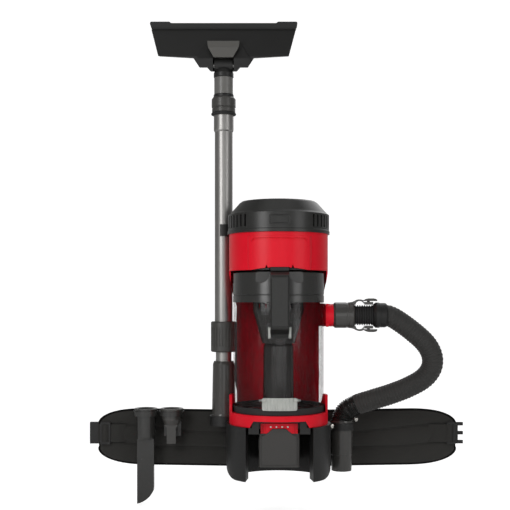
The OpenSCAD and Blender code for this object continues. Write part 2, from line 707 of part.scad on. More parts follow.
module hose_end_cuff() framed() color(grey) translate([end_cuff_x, cuff_y, 0]) rotate_extrude() polygon([
    [17, 0], [20.6, 0], [21.6, 32], [22.3, 33.5], [23.6, end_cuff_h - 3], [22.6, end_cuff_h],
    [hose_r + 0.2, end_cuff_h], [hose_r + 0.2, end_cuff_h - hose_in], [17.5, end_cuff_h - hose_in - 4],
    [17.5, 41], [17, 40]]);

module hose_clip() framed() color(black) difference() {
    union() {
        translate([end_cuff_x, cuff_y, 84]) cylinder(r = 27.4, h = 14);
        translate([end_cuff_x, cuff_y, 84]) rotate([0, 0, atan2(-cuff_y, -end_cuff_x)]) translate([0, -9, 0]) cube([36, 18, 14]);
    }
    translate([end_cuff_x, cuff_y, 80]) cylinder(r = 23.9, h = 30);
    translate([end_cuff_x + 10, cuff_y - 15, 80]) cube([30, 30, 30]);
    cylinder(r = base_r + seat, h = 300);
}

// ---- Harness ----

pad_half = hinge_x - belt_t / 2 - 0.5;   // half width of the pad between the wings
waist_z = [belt_z - belt_h / 2, belt_z + belt_h / 2];
plate_top = 452;
pad_top = 400;

hinge_rod = 2;                           // rod that each belt wing is sewn round
hinge_lugs = [22, 103];                  // foot of each lug that holds it
lug_t = 3;

module hinge() {
    translate([hinge_x, belt_y, hinge_lugs[0]]) cylinder(r = hinge_rod, h = hinge_lugs[1] + lug_t - hinge_lugs[0]);
    for (z = hinge_lugs) translate([0, 0, z]) linear_extrude(lug_t) {
        translate([hinge_x, belt_y]) circle(r = 4);
        polygon([[hinge_x - 12, plate_rear - 5], [hinge_x - 7, plate_rear - 5], [hinge_x + 2, belt_y - 3],
            [hinge_x - 3.5, belt_y + 1.5], [pad_half + seat, belt_y - 5], [pad_half + seat, plate_rear], [hinge_x - 12, plate_rear]]);
    }
}
module harness_plate() framed() color(black) {
    back_plate();
    mirrored_x() hinge();
}
module back_plate() upright(rear_y, plate_rear) difference() {
    polygon(concat(
        arc(pad_half - 14, waist_z[0] + 20, 13, 270, 360, 4), [[pad_half - 1, waist_z[1] - 10], [62, waist_z[1] + 46]],
        arc(44, plate_top - 18, 18, 0, 90, 5), arc(-44, plate_top - 18, 18, 90, 180, 5),
        [[-62, waist_z[1] + 46], [-pad_half + 1, waist_z[1] - 10]], arc(-pad_half + 14, waist_z[0] + 20, 13, 180, 270, 4)));
    for (side = [-1, 1], z = [190, 270, 350]) translate([side * 34, z]) soft_rect(26, 54, 8);
    for (side = [-1, 1]) translate([side * 48, 425]) soft_rect(34, 5, 2);
}

// Depth of the padding across its width or height: full in the middle, drawn in at the edge
function crown(u) = pow(max(0, 1 - pow(abs(u), 5)), 0.5);
function channel(u, at, w) = exp(-pow((u - at) / w, 2));

pad_stations = [0, 0.02, 0.07, 0.16, 0.225, 0.235, 0.245, 0.3, 0.38, 0.46, 0.47, 0.48, 0.55, 0.63, 0.71, 0.72, 0.73,
    0.8, 0.88, 0.95, 0.985, 1];
pad_across = [-1, -0.97, -0.85, -0.6, -0.3, 0, 0.3, 0.6, 0.85, 0.97, 1];

function pad_half_at(z) = z < waist_z[1] ? pad_half
    : max(56, pad_half - (z - waist_z[1]) * 0.75);
function pad_ring(s) = let (
        z = waist_z[0] + s * (pad_top - waist_z[0]), w = pad_half_at(z) * (s == 0 || s == 1 ? 0.9 : 1),
        d = (pad_t - seat) * (0.25 + 0.75 * crown(2 * s - 1)) * (1 - 0.4 * (channel(s, 0.235, 0.006)
            + channel(s, 0.47, 0.006) + channel(s, 0.72, 0.006))))
    concat([for (u = pad_across) [u * w, plate_rear + seat + d * (0.45 + 0.55 * crown(u)), z]],
        [[w, plate_rear + seat, z], [-w, plate_rear + seat, z]]);

module back_pad() framed() color(black) loft([for (s = pad_stations) pad_ring(s)]);

STRAP_ROUTE = [[plate_rear + 3 * seat, 425], [118, 426], [132, 432], [150, 434], [168, 425], [180, 402], [184, 366],
    [181, 322], [172, 276], [160, 232], [148, 198], [138, 170], [132, 149]];
strap_half = 27;
strap_t = 11;

function strap_ring(i) = let (
        n = len(STRAP_ROUTE), p = STRAP_ROUTE[i], a = STRAP_ROUTE[max(0, i - 1)], b = STRAP_ROUTE[min(n - 1, i + 1)],
        d = unit(b - a), out = [-d[1], d[0]], w = strap_half * (i == n - 1 ? 0.7 : 1), x = 50 + 1.3 * i)
    [for (u = [[-1, -0.3], [-0.7, -1], [0, -1.1], [0.7, -1], [1, -0.3], [1, 0.3], [0.7, 1], [0, 1.1], [-0.7, 1], [-1, 0.3]])
        let (q = p + out * u[1] * strap_t / 2) [x + u[0] * w, q[0], q[1]]];

module shoulder_straps() framed() color(black) mirrored_x() loft([for (i = [0:len(STRAP_ROUTE) - 1]) strap_ring(i)]);

module strap_buckles() framed() color(dark) mirrored_x() translate([66, 0, 130])
    upright(pad_rear - 0.1, pad_rear + 4.9) difference() {
        soft_rect(36, 34, 4);
        for (z = [-10, 0, 10]) translate([0, z]) soft_rect(27, 4.5, 1.5);
    }

module grab_handle() framed() color(black) upright(plate_rear, plate_rear + 11) translate([0, plate_top + 14]) difference() {
    soft_rect(92, 54, 16);
    translate([0, 5]) soft_rect(66, 26, 9);
}

// ---- Wand ----

wand_x = -112;
wand_y = 70;
grip_z = 98;
grip_h = 125;
lock_z = grip_z + grip_h + 19;
lock_h = 63;
outer_z = lock_z + 8;                    // foot of the outer tube, inside the lock collar
outer_top = outer_z + wand_l;
flare_h = 31;
inner_r = wand_r - tube_wall - 1;
wand_dir = atan2(-wand_y, -wand_x);      // from the wand towards the canister's axis

module at_wand(z) translate([wand_x, wand_y, z]) children();

module wand_outer_tube() framed() color(metal) at_wand(outer_z) rotate_extrude() polygon([
    [wand_r - tube_wall, 0], [wand_r, 0], [wand_r, wand_l - flare_h - 3], [wand_r + 2, wand_l - flare_h],
    [wand_r + 2, wand_l], [wand_r + 2 - tube_wall, wand_l], [wand_r + 2 - tube_wall, wand_l - flare_h],
    [wand_r - tube_wall, wand_l - flare_h - 3]]);

spigot_r = wand_r - 1.3;                 // radius of the floor tool's spigot
collar_rim = wand_r + 6.5;
ring_band = 7;

module wand_collar() framed() color(grey) at_wand(outer_top) rotate_extrude() polygon([
    [spigot_r + gap, -26], [wand_r + 2 - tube_wall - 0.15, -26], [wand_r + 2 - tube_wall - 0.15, 0],
    [wand_r + 3, 0], [wand_r + 3, ring_band], [collar_rim - 0.8, ring_band], [collar_rim - 0.8, ring_band + 7],
    [collar_rim - 1.8, ring_band + 8], [collar_rim - 1.8, ring_band + 9.5], [collar_rim, ring_band + 10.5],
    [collar_rim, ring_band + 27], [collar_rim - 3, ring_band + 31], [spigot_r + gap, ring_band + 31]]);

module wand_o_ring() framed() color(black) at_wand(outer_top + ring_band / 2) rotate_extrude()
    translate([wand_r + 5.3, 0]) circle(r = 2.2, $fn = 32);

module lock_collar() framed() color(black) at_wand(lock_z) difference() {
    rotate_extrude() polygon([
        [inner_r + 0.5, 0], [lock_r - 2, 0], [lock_r, 2], [lock_r, lock_h - 2], [lock_r - 2, lock_h],
        [wand_r + gap, lock_h], [wand_r + gap, 6], [inner_r + 0.5, 6]]);
    for (i = [0:23]) rotate([0, 0, i * 15]) translate([lock_r - 0.8, -1.2, 12]) cube([3, 2.4, lock_h - 24]);
}

module wand_inner_tube() framed() color(metal) at_wand(grip_z + grip_h - 60) ring(inner_r, inner_r - tube_wall, outer_top - flare_h - 20 - grip_z - grip_h + 60);

module wand_grip() framed() color(dark) at_wand(grip_z) rotate_extrude() polygon([
    [17.2, 0], [24, 0], [25, 1.5], [25, 14], [24.4, 16], [22.6, grip_h - 14], [22.6, grip_h - 6], [20, grip_h],
    [inner_r, grip_h], [inner_r, grip_h - 60], [15.5, grip_h - 60], [15.5, 45], [17.2, 40]]);

module wand_hook() framed() color(black) difference() {
    at_wand(cap_z + 1) union() {
        cylinder(r = wand_r + 4.4, h = 24);
        rotate([0, 0, wand_dir]) translate([0, -10, 0]) cube([40, 20, 24]);
    }
    at_wand(cap_z - cut) cylinder(r = wand_r + gap, h = 40);
    at_wand(cap_z - cut) translate([-67, -50, 0]) cube([60, 100, 40]);
    cylinder(r = cap_r + seat, h = 900);
}

module wand_cradle() framed() color(black) difference() {
    at_wand(grip_z - 8) union() {
        cylinder(r = 29, h = 20);
        rotate([0, 0, wand_dir]) translate([0, -14, 0]) cube([36, 28, 12]);
    }
    at_wand(0) cylinder(r = 25 + gap, h = 300);
    cylinder(r = base_r + seat, h = 900);
}

// Three separate clips on the canister's sides, one node: for the wand's tube, its grip and the hose's end
module side_clips() {
    wand_hook();
    wand_cradle();
    hose_clip();
}

// ---- Floor tool ----

neck_z = outer_top + ring_band + 31;     // top of the wand's collar
pivot_z = neck_z + 67;
head_z = pivot_z - 14;                   // heel of the head
head_top = head_z + head_d;
sole_y = wand_y + 22;
knuckle_r = 15;
knuckle_half = 19;

core_r = 17.5;                           // the neck inside its sleeve
sleeve_from = 32;                        // foot and top of the sleeve on the neck
sleeve_to = 67;

module neck_sleeve() framed() color(grey) at_wand(neck_z - 26 + sleeve_from) rotate_extrude() polygon([
    [core_r + 0.05, 0], [19.6, 0], [19.6, sleeve_to - sleeve_from - 1], [19, sleeve_to - sleeve_from],
    [core_r + 0.05, sleeve_to - sleeve_from]]);

module tool_neck() framed() color(dark) difference() {
    union() {
        at_wand(neck_z - 26) rotate_extrude() polygon([
            [0, 0], [spigot_r - 1, 0], [spigot_r, 2], [spigot_r, 26.5], [collar_rim - 4, 26.5], [collar_rim - 4, 31],
            [core_r, sleeve_from], [core_r, sleeve_to], [19.6, sleeve_to], [20.6, sleeve_to + 1], [20.6, 76], [17, 84],
            [0, 84]]);
        translate([wand_x - knuckle_half, wand_y, pivot_z]) along_x() cylinder(r = knuckle_r, h = 2 * knuckle_half);
    }
    at_wand(neck_z - 27) cylinder(r = 14, h = 74);
    translate([wand_x - 40, wand_y, pivot_z]) along_x() cylinder(r = 4.3, h = 80);
}

module head_pin() framed() color(metal) translate([wand_x - 30, wand_y, pivot_z]) along_x() cylinder(r = 4, h = 60);

function head_outline() = let (w = head_w / 2) [
    [-w + 18, head_z + 31], [-w * 0.41, head_z + 27], [-50, head_z + 8], [-34, head_z + 8], [-27, head_z],
    [27, head_z], [34, head_z + 8], [50, head_z + 8], [w * 0.41, head_z + 27], [w - 18, head_z + 31],
    [w - 3, head_top - 20], [w - 3, head_top - 17], [-w + 3, head_top - 17], [-w + 3, head_top - 20]];

hood_top = head_z + 60;
head_tilt = 12;                          // how steeply the head's underside rises to the sole

// Turns a shape that is drawn upright so that its underside rises towards the sole
module tilted() translate([0, wand_y - 12, head_z + 30]) rotate([head_tilt, 0, 0])
    translate([0, -(wand_y - 12), -(head_z + 30)]) children();

module floor_head() framed() color(black) difference() {
    union() {
        intersection() {
            tilted() upright(wand_y - 45, sole_y + 30) translate([wand_x, 0]) polygon(head_outline());
            side_on(wand_x - head_w, wand_x + head_w) polygon([
                [sole_y, head_z - 8], [wand_y - 8, head_z - 8], [wand_y - 12, head_z + 30],
                [wand_y - 1, head_top - 17], [sole_y, head_top - 17]]);
        }
        // heel and hood over the neck's hinge
        intersection() {
            tilted() upright(wand_y - 45, sole_y + 30) translate([wand_x, 0]) polygon([
                [-27, head_z], [-34, head_z + 8], [-50, head_z + 8], [-56, head_z + 22], [-34, hood_top],
                [34, hood_top], [56, head_z + 22], [50, head_z + 8], [34, head_z + 8], [27, head_z]]);
            side_on(wand_x - 60, wand_x + 60) polygon([
                [sole_y - 4, head_z - 8], [wand_y - 18, head_z - 8], [wand_y - 20, head_z + 24],
                [wand_y - 4, hood_top + 4], [sole_y - 4, hood_top + 4]]);
        }
    }
    // room for the knuckle and for the neck to fold forward
    translate([wand_x - knuckle_half - gap, wand_y, pivot_z]) along_x() cylinder(r = knuckle_r + 1, h = 2 * (knuckle_half + gap));
    side_on(wand_x - 21.5, wand_x + 21.5) polygon([
        [wand_y + 21.2, head_z - 5], [wand_y + 21.2, pivot_z - 8], [wand_y + 16, pivot_z + 3], [wand_y, pivot_z + 16],
        [wand_y - 14, pivot_z + 18], [wand_y - 30, pivot_z + 18], [wand_y - 30, head_z - 5]]);
    translate([wand_x - 31, wand_y, pivot_z]) along_x() cylinder(r = 4, h = 62);
    // suction slot in the sole
    translate([wand_x - head_w / 2 + 22, sole_y - 9, head_top - 42]) cube([head_w - 44, 20, 15]);
    hood_block(seat);
}

// The grey cover over the hinge is let into the hood
module hood_block(grow) upright(wand_y - 25, wand_y - 13 + grow) translate([wand_x, 0]) polygon([
    [-20 - grow, pivot_z + 12 - grow], [-32 - grow, hood_top - 12], [-33 - grow, hood_top + grow],
    [33 + grow, hood_top + grow], [32 + grow, hood_top - 12], [20 + grow, pivot_z + 12 - grow]]);

module hinge_cover() framed() color(grey) intersection() {
    hood_block(0);
    side_on(wand_x - 60, wand_x + 60) polygon([
        [wand_y - 12, pivot_z], [wand_y - 23, pivot_z], [wand_y - 23, hood_top - 14], [wand_y - 19, hood_top + 1],
        [wand_y - 12, hood_top + 1]]);
}

module floor_bumper() framed() color(black) {
    w = head_w / 2;
    upright(wand_y - 1, sole_y) translate([wand_x, 0]) polygon([
        [-w + 4, head_top - 16.8], [w - 4, head_top - 16.8], [w, head_top - 5], [w, head_top - 2], [w - 2, head_top],
        [w - 40, head_top], [w - 44, head_top - 3], [-w + 44, head_top - 3], [-w + 40, head_top],
        [-w + 2, head_top], [-w, head_top - 2], [-w, head_top - 5]]);
    // lip along the joint with the head
    side_on(wand_x - w + 5, wand_x + w - 5) polygon([
        [wand_y - 0.5, head_top - 16.8], [wand_y - 4, head_top - 16.8], [wand_y - 4, head_top - 15.4],
        [wand_y - 0.5, head_top - 13]]);
}

module floor_brushes() framed() color(black) for (z = [head_top - 24, head_top - 50])
    translate([wand_x - head_w / 2 + 22, sole_y + gap / 2, z]) cube([head_w - 44, 5, 5]);

// ---- Waist belt ----

wing_across = [0.995, 0.93, 0.8, 0.6, 0.47, 0.43, 0.39, 0.15, -0.1, -0.26, -0.3, -0.34, -0.6, -0.8, -0.93, -0.995];
wing_seams = [0.43, -0.3];
wing_along = [0, 0.04, 0.1, 0.2, 0.32, 0.44, 0.55, 0.65, 0.73, 0.8, 0.86, 0.91, 0.95, 0.98, 1];
wing_end_half = 28;

// Half height of the wing at distance x from the centre: its outer end is a blunt round
function wing_half(x) = let (u = max(0, (x - belt_reach + 107) / 107))
    wing_end_half + (belt_h / 2 - wing_end_half) * pow(max(0, 1 - pow(u, 2.6)), 0.55);
function wing_depth(v) = let (s = belt_t / 2 * crown(v * 0.97))
    s * (1 - 0.42 * (channel(v, wing_seams[0], 0.035) + channel(v, wing_seams[1], 0.035)));
function wing_ring(x, f) = let (h = wing_half(x), z0 = belt_z - 3 + 6 * (x - hinge_x) / belt_reach)
    concat([for (v = wing_across) [x, belt_y - f * wing_depth(v), z0 + v * h]],
        [for (i = [len(wing_across) - 1:-1:0]) let (v = wing_across[i]) [x, belt_y + f * wing_depth(v), z0 + v * h]]);

wing_from = hinge_x + belt_t / 2 + seat;
module wing() loft([for (i = [len(wing_along) - 1:-1:0]) let (s = wing_along[i])
    wing_ring(wing_from + s * (belt_reach - wing_from), s == 1 ? 0.55 : (s > 0.97 ? 0.8 : 1))]);

// The padding, and the sleeve along its inner end that turns on the plate's rod
module sewn_wing() {
    wing();
    translate([hinge_x, belt_y, hinge_lugs[0] + lug_t + gap])
        ring(belt_t / 2, hinge_rod + seat, hinge_lugs[1] - hinge_lugs[0] - lug_t - 2 * gap);
}
module belt_right() framed() color(black) sewn_wing();
module belt_left() framed() color(black) mirror([1, 0, 0]) sewn_wing();

buckle_y = belt_y - belt_t / 2 - seat;   // front face of the belt, less its seat
strap_w = 45;

module left_buckle() framed() color(dark) {
    upright(buckle_y - 5, buckle_y) translate([-belt_reach + 14, belt_z + 8]) difference() {
        soft_rect(22, strap_w + 2, 2.5);
        for (x = [-4.6, 4.6]) translate([x, 0]) soft_rect(4.6, strap_w - 8, 1);
    }
    translate([-belt_reach - 19.5, buckle_y + 2, belt_z + 8 - strap_w / 2]) difference() {
        cube([19, 12, strap_w]);
        translate([-cut, 2.5, 5]) cube([14, 7, strap_w - 10]);
    }
}

module right_buckle() framed() color(dark) {
    upright(buckle_y - 5, buckle_y) translate([belt_reach - 10, belt_z + 8]) difference() {
        soft_rect(18, strap_w + 2, 2.5);
        translate([1, 0]) soft_rect(6, strap_w - 8, 1);
    }
    translate([belt_reach + 0.5, buckle_y + 3, belt_z + 8]) {
        translate([0, 0, -strap_w / 2]) cube([5, 8, strap_w]);
        for (z = [-strap_w / 2, -3.5, strap_w / 2 - 7]) translate([5, 1, z]) cube([11, 6, 7]);
    }
}

// ---- Belt tools ----

tool_y = belt_y - belt_t / 2 - 23;
crevice_x = -275;
brush_x = -221;
holder_z = 108;
holder_h = 10;
socket_r = 20;
TOOLS_X = [crevice_x, brush_x];

module tool_holders() framed() color(black) for (x = TOOLS_X) difference() {
    union() {
        translate([x, tool_y, holder_z]) cylinder(r = socket_r + 5.8, h = holder_h);
        translate([x - 11, tool_y, holder_z - 22]) cube([22, buckle_y - tool_y, 32]);
        translate([x - 18, buckle_y - 3, holder_z - 46]) cube([36, 3, 54]);
    }
    translate([x, tool_y, holder_z - 60]) cylinder(r = socket_r + gap, h = 90);
    behind(buckle_y);
}

flange_z = holder_z + holder_h + seat;

module crevice_tool() framed() color(dark) translate([crevice_x, tool_y, 0]) {
    difference() {
        rotate_extrude() polygon([
            [16.5, belt_z], [18.4, belt_z], [socket_r - 0.6, belt_z + 4], [socket_r, flange_z], [24.4, flange_z],
            [24.4, flange_z + 4], [23.4, flange_z + 5], [16.5, flange_z + 5]]);
    }
    difference() {
        upright(-7.5, 7.5) polygon(concat(
            [[-17.6, belt_z], [-17.6, belt_z - crevice_l]],
            arc(-17.6 - 9, belt_z - crevice_l + 46, 47, -73, -24, 6),
            [[17, belt_z - crevice_l + 36], [17, belt_z - 56], [17.8, belt_z - 54], [17.6, belt_z]]));
        upright(-5, 5) polygon([[-14.6, belt_z + cut], [-14.6, belt_z - crevice_l - cut], [14, belt_z - crevice_l - cut], [14, belt_z + cut]]);
    }
}

module brush_tool() framed() color(dark) translate([brush_x, tool_y, 0]) {
    rotate_extrude() polygon([
        [14, holder_z - 18], [15.5, holder_z - 18], [socket_r, holder_z - 8], [socket_r, flange_z], [24.4, flange_z],
        [24.4, flange_z + 4], [23.4, flange_z + 5], [16.5, flange_z + 5], [16.5, holder_z - 6]]);
    difference() {
        upright(-11, 11) polygon([[-14, holder_z - 18], [14, holder_z - 18], [12, holder_z - 22],
            [9.5, holder_z - 24], [9.5, holder_z - 58], [-9.5, holder_z - 58], [-9.5, holder_z - 24], [-12, holder_z - 22]]);
        translate([-7, -8, holder_z - 60]) cube([14, 16, 50]);
    }
}

exhaust_cap();
motor_housing();
motor_deck();
motor();
impeller();
back_frame();
base_skirt();
base_shell();
battery_dock();
inlet_port();
bin_shell();
bin_collar();
bin_handle();
handle_catch();
separator_bucket();
cyclone_tube();
filter();
bin_door();
door_ring();
door_pin();
door_latch();
release_button();
battery_case();
battery_top();
battery_gauge();
battery_button_left();
battery_button_right();
hose_connector();
hose_button_upper();
hose_button_lower();
hose_bellows();
hose_sleeve_end();
hose();
hose_end_cuff();
side_clips();
harness_plate();
back_pad();
shoulder_straps();
strap_buckles();
grab_handle();
wand_outer_tube();
wand_collar();
wand_o_ring();
lock_collar();
wand_inner_tube();
wand_grip();
tool_neck();
neck_sleeve();
head_pin();
floor_head();
hinge_cover();
floor_bumper();
floor_brushes();
belt_left();
tool_holders();
left_buckle();
belt_right();
right_buckle();
crevice_tool();
brush_tool();
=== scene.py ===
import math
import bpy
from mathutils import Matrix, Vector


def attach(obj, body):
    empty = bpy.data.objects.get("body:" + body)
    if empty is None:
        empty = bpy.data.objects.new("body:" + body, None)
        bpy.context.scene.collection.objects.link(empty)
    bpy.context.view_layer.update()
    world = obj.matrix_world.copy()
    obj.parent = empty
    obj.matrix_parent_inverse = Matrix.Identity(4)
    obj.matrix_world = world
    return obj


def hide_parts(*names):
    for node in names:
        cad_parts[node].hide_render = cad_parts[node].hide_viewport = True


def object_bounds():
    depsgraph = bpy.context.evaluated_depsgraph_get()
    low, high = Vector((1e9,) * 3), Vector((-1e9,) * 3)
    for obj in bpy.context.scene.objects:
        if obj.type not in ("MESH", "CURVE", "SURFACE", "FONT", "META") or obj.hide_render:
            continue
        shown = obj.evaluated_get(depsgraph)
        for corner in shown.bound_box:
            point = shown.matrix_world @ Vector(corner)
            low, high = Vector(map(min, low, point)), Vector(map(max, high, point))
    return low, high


bl_info = {
    "name": "Backpack vacuum cleaner",
    "version": (1, 0, 0),
    "blender": (4, 5, 0),
    "location": "View3D > Sidebar > Vacuum",
    "description": "Soft goods, hose, trim, finishes and stage for a backpack vacuum cleaner",
    "category": "Object",
}

import bmesh
import bpy
from bpy.props import FloatProperty, FloatVectorProperty, IntProperty, PointerProperty
from mathutils import Vector

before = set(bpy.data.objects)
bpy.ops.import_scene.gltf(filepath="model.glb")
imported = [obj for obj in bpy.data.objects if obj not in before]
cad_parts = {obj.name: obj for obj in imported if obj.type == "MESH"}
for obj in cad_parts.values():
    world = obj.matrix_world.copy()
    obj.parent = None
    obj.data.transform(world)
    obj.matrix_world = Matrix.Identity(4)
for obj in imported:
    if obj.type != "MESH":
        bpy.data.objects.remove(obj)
CAD_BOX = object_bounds()

MM = 0.001
PAD_REAR = 125          # the pad's rear face, behind the canister's axis, in mm
BELT_LEVEL = 60         # the waist belt's centre line, above the feet, in mm
SIDES = ((-1, "left"), (1, "right"))


def at(x, y, z):
    """A point given in mm from the canister's axis and the feet, in the frame's metres."""
    return Vector((x * MM, (y - PAD_REAR) * MM, (z - BELT_LEVEL) * MM))


# ------------ settings

def colour(name, description, value):
    return FloatVectorProperty(name=name, description=description, default=value,
                               subtype="COLOR", size=3, min=0, max=1)


def number(name, description, value, low, high, **kind):
    return FloatProperty(name=name, description=description, default=value, min=low, max=high, **kind)


def length(name, description, value, low=0.0, high=1.0):
    return number(name, description, value, low, high, subtype="DISTANCE", unit="LENGTH")


def power(name, description, value):
    return number(name, description, value, 0, 500, subtype="POWER", unit="POWER")


class StageSettings(bpy.types.PropertyGroup):
    lens: number("Lens", "Focal length of the camera", 67.0, 20, 200, subtype="DISTANCE_CAMERA")
    distance: length("Distance", "How far the camera stands in front of the pad", 2.025, 0.5, 5)
    floor_drop: length("Floor drop", "Gap between the lowest point and the floor", 0.004, 0, 0.1)
    floor: colour("Floor", "Colour of the floor and backdrop", (0.93, 0.93, 0.93))
    key_power: power("Key power", "Power of the main lamp", 20.0)
    fill_power: power("Fill power", "Power of the side lamp", 8.0)


class HoseSettings(bpy.types.PropertyGroup):
    diameter: length("Diameter", "Outer diameter of the hose", 0.043, 0.02, 0.06)
    rings: IntProperty(name="Rings", description="Rings of mesh along the sleeve", default=420, min=40, max=600)
    ribs: IntProperty(name="Ribs", description="Bare ribs next to the end cuff", default=13, min=4, max=30)


class HarnessSettings(bpy.types.PropertyGroup):
    puff: number("Puff", "Pressure inside the padding", 3.0, 0, 20)
    swell: length("Swell", "How far the padding may swell", 0.003, 0, 0.02)
    binding: length("Binding", "Radius of the tape round the padding's edge", 0.0037, 0.001, 0.01)
    webbing: length("Webbing", "Thickness of the webbing straps", 0.0016, 0.0005, 0.005)
    fabric: colour("Fabric", "Colour of the padded fabric", (0.027, 0.026, 0.0235))


class PlasticSettings(bpy.types.PropertyGroup):
    red: colour("Red", "Colour of the red mouldings", (0.88, 0.005, 0.022))
    black: colour("Black", "Colour of the black mouldings", (0.014, 0.014, 0.0135))
    charcoal: colour("Charcoal", "Colour of the cap, base and tools", (0.026, 0.026, 0.0245))
    grey: colour("Grey", "Colour of the handle and cuffs", (0.062, 0.060, 0.056))
    metal: colour("Metal", "Colour of the wand's tubes", (0.37, 0.362, 0.35))


GROUPS = {
    "vac_stage": StageSettings,
    "vac_hose": HoseSettings,
    "vac_harness": HarnessSettings,
    "vac_plastic": PlasticSettings,
}


# ------------ shader maths

class Wire:
    """A socket of a finish's node tree. Arithmetic on it adds Math nodes."""

    def __init__(self, finish, socket):
        self.finish = finish
        self.socket = socket

    def math(self, operation, *others):
        return self.finish.node("Math", {"operation": operation}, dict(enumerate((self, *others))))

    def __add__(self, other):
        return self.math("ADD", other)

    def __sub__(self, other):
        return self.math("SUBTRACT", other)

    def __rsub__(self, other):
        return self.finish.node("Math", {"operation": "SUBTRACT"}, {0: other, 1: self})

    def __mul__(self, other):
        return self.math("MULTIPLY", other)

    def __pow__(self, other):
        return self.math("POWER", other)

    __radd__ = __add__

    def clamp(self):
        return self.finish.node("Clamp", {}, {"Value": self})

    def step(self, low, high):
        """0 below low, 1 above high, smooth between."""
        return self.finish.node("MapRange", {"interpolation_type": "SMOOTHSTEP"},
                                {"Value": self, "From Min": low, "From Max": high})

    def stripes(self, pitch):
        """Ridges pitch apart."""
        return (self * (math.pi / pitch)).math("SINE").math("ABSOLUTE")


class Finish:
    """A material and the nodes that make it."""

    def __init__(self, name):
        self.material = bpy.data.materials.new(name)
        self.material.use_nodes = True
        self.tree = self.material.node_tree
        self.shader = self.tree.nodes["Principled BSDF"]

    def node(self, kind, settings=None, inputs=None, out=0):
        """Adds a shader node, kind being its type's name, and hands over its output out."""
        made = self.tree.nodes.new("ShaderNode" + kind)
        for key, value in (settings or {}).items():
            setattr(made, key, value)
        for key, value in (inputs or {}).items():
            self.feed(made.inputs[key], value)
        return Wire(self, made.outputs[out])

    def feed(self, socket, value):
        if isinstance(value, Wire):
            self.tree.links.new(value.socket, socket)
        elif isinstance(value, (tuple, list)) and len(value) == 3 and len(socket.default_value) == 4:
            socket.default_value = (*value, 1)
        else:
            socket.default_value = value

    def set(self, **values):
        for key, value in values.items():
            self.feed(self.shader.inputs[key.replace("_", " ").title().replace("Ior", "IOR")], value)
        return self

    def mix(self, factor, a, b):
        made = self.tree.nodes.new("ShaderNodeMix")
        made.data_type = "RGBA"
        for index, value in ((0, factor), (6, a), (7, b)):
            self.feed(made.inputs[index], value)
        return Wire(self, made.outputs[2])

    def here(self):
        return self.node("TexCoord", out="Object")

    def uv(self):
        return self.node("TexCoord", out="UV")

    def stretched(self, place, scale, turn=(0, 0, 0)):
        return self.node("Mapping", {}, {"Vector": place, "Scale": scale, "Rotation": turn})

    def axis(self, place, which):
        return self.node("SeparateXYZ", {}, {0: place}, which)

    def noise(self, scale, detail=3.0, rough=0.55, place=None):
        inputs = {"Vector": place or self.here(), "Scale": scale, "Detail": detail, "Roughness": rough}
        return self.node("TexNoise", inputs=inputs)

    def streaks(self, scale, detail=3.0, rough=0.6):
        """Noise drawn out by its own scale on each axis."""
        return self.noise(1.0, detail, rough, self.stretched(self.here(), scale))

    def bumped(self, height, distance, strength, edge=None):
        """Adds the relief, and rounding where edge gives its radius, and hands over the material."""
        inputs = {"Height": height, "Distance": distance, "Strength": strength}
        if edge:
            inputs["Normal"] = self.node("Bevel", {"samples": 6}, {"Radius": edge})
        return self.set(normal=self.node("Bump", {}, inputs)).material


def shade(tone, factor):
    return tuple(min(1.0, channel * factor) for channel in tone)


def moulded(name, tone, rough=0.42, grain=0.00006, edge=0.0009, coat=0.0, scuff=1.5, specular=0.42):
    """Moulded plastic: fine grain, slight flow marks, and a little wear in scattered light specks."""
    f = Finish(name)
    broad = f.noise(9.0, 4.0)
    fine = f.noise(1400.0, 2.0)
    specks = f.noise(260.0, 5.0, 0.7).step(0.62, 0.74)
    body = f.mix(broad, shade(tone, 0.90), shade(tone, 1.10))
    f.set(base_color=f.mix(specks * 0.10 * scuff, body, shade(tone, 2.2)),
          roughness=rough + (broad - 0.5) * 0.12 + specks * 0.05,
          specular_ior_level=specular)
    if coat:
        f.set(coat_weight=coat, coat_roughness=0.12)
    return f.bumped(fine, grain, 0.6, edge)


def clear_plastic(name, tone, alpha, rim, ribs=0.0, specular=0.42):
    """Clear plastic that thickens towards its rim."""
    f = Finish(name)
    facing = f.node("LayerWeight", {}, {"Blend": 0.42}, "Facing")
    # The first noise is partly the moulding's own haze, which also sets the roughness, and partly painted glint
    # streaks in the alpha; the second paints light and dark mottling over what is seen through the wall.
    haze_and_glints = f.streaks((90.0, 90.0, 5.0), 4.0)
    painted_mottle = f.streaks((170.0, 170.0, 60.0), 5.0, 0.75)
    f.set(base_color=tone, roughness=0.04 + haze_and_glints * 0.05, specular_ior_level=specular,
          alpha=(facing ** 2.6 * (rim - alpha) + alpha + (haze_and_glints - 0.5) * 0.2 + (painted_mottle - 0.5) * 0.5).clamp())
    if ribs:
        wave = f.node("TexWave", {"bands_direction": "X"},
                      {"Vector": f.here(), "Scale": ribs, "Distortion": 0.0})
        return f.bumped(wave, 0.0008, 0.9)
    return f.material


def perforated(name, tone, per_metre):
    """Moulded plastic with a regular pattern of small holes, drawn as dots of painted shade with a bump."""
    f = Finish(name)
    cell = f.node("TexVoronoi", {}, {"Vector": f.here(), "Scale": per_metre, "Randomness": 0.0}, "Distance")
    solid = cell.step(0.30, 0.42)
    # The holes are painted shade: a darker copy of the tone, not openings.
    f.set(base_color=f.mix(solid, shade(tone, 0.25), shade(tone, 1.3)), roughness=0.27, specular_ior_level=0.55)
    return f.bumped(solid, 0.0003, 0.5)


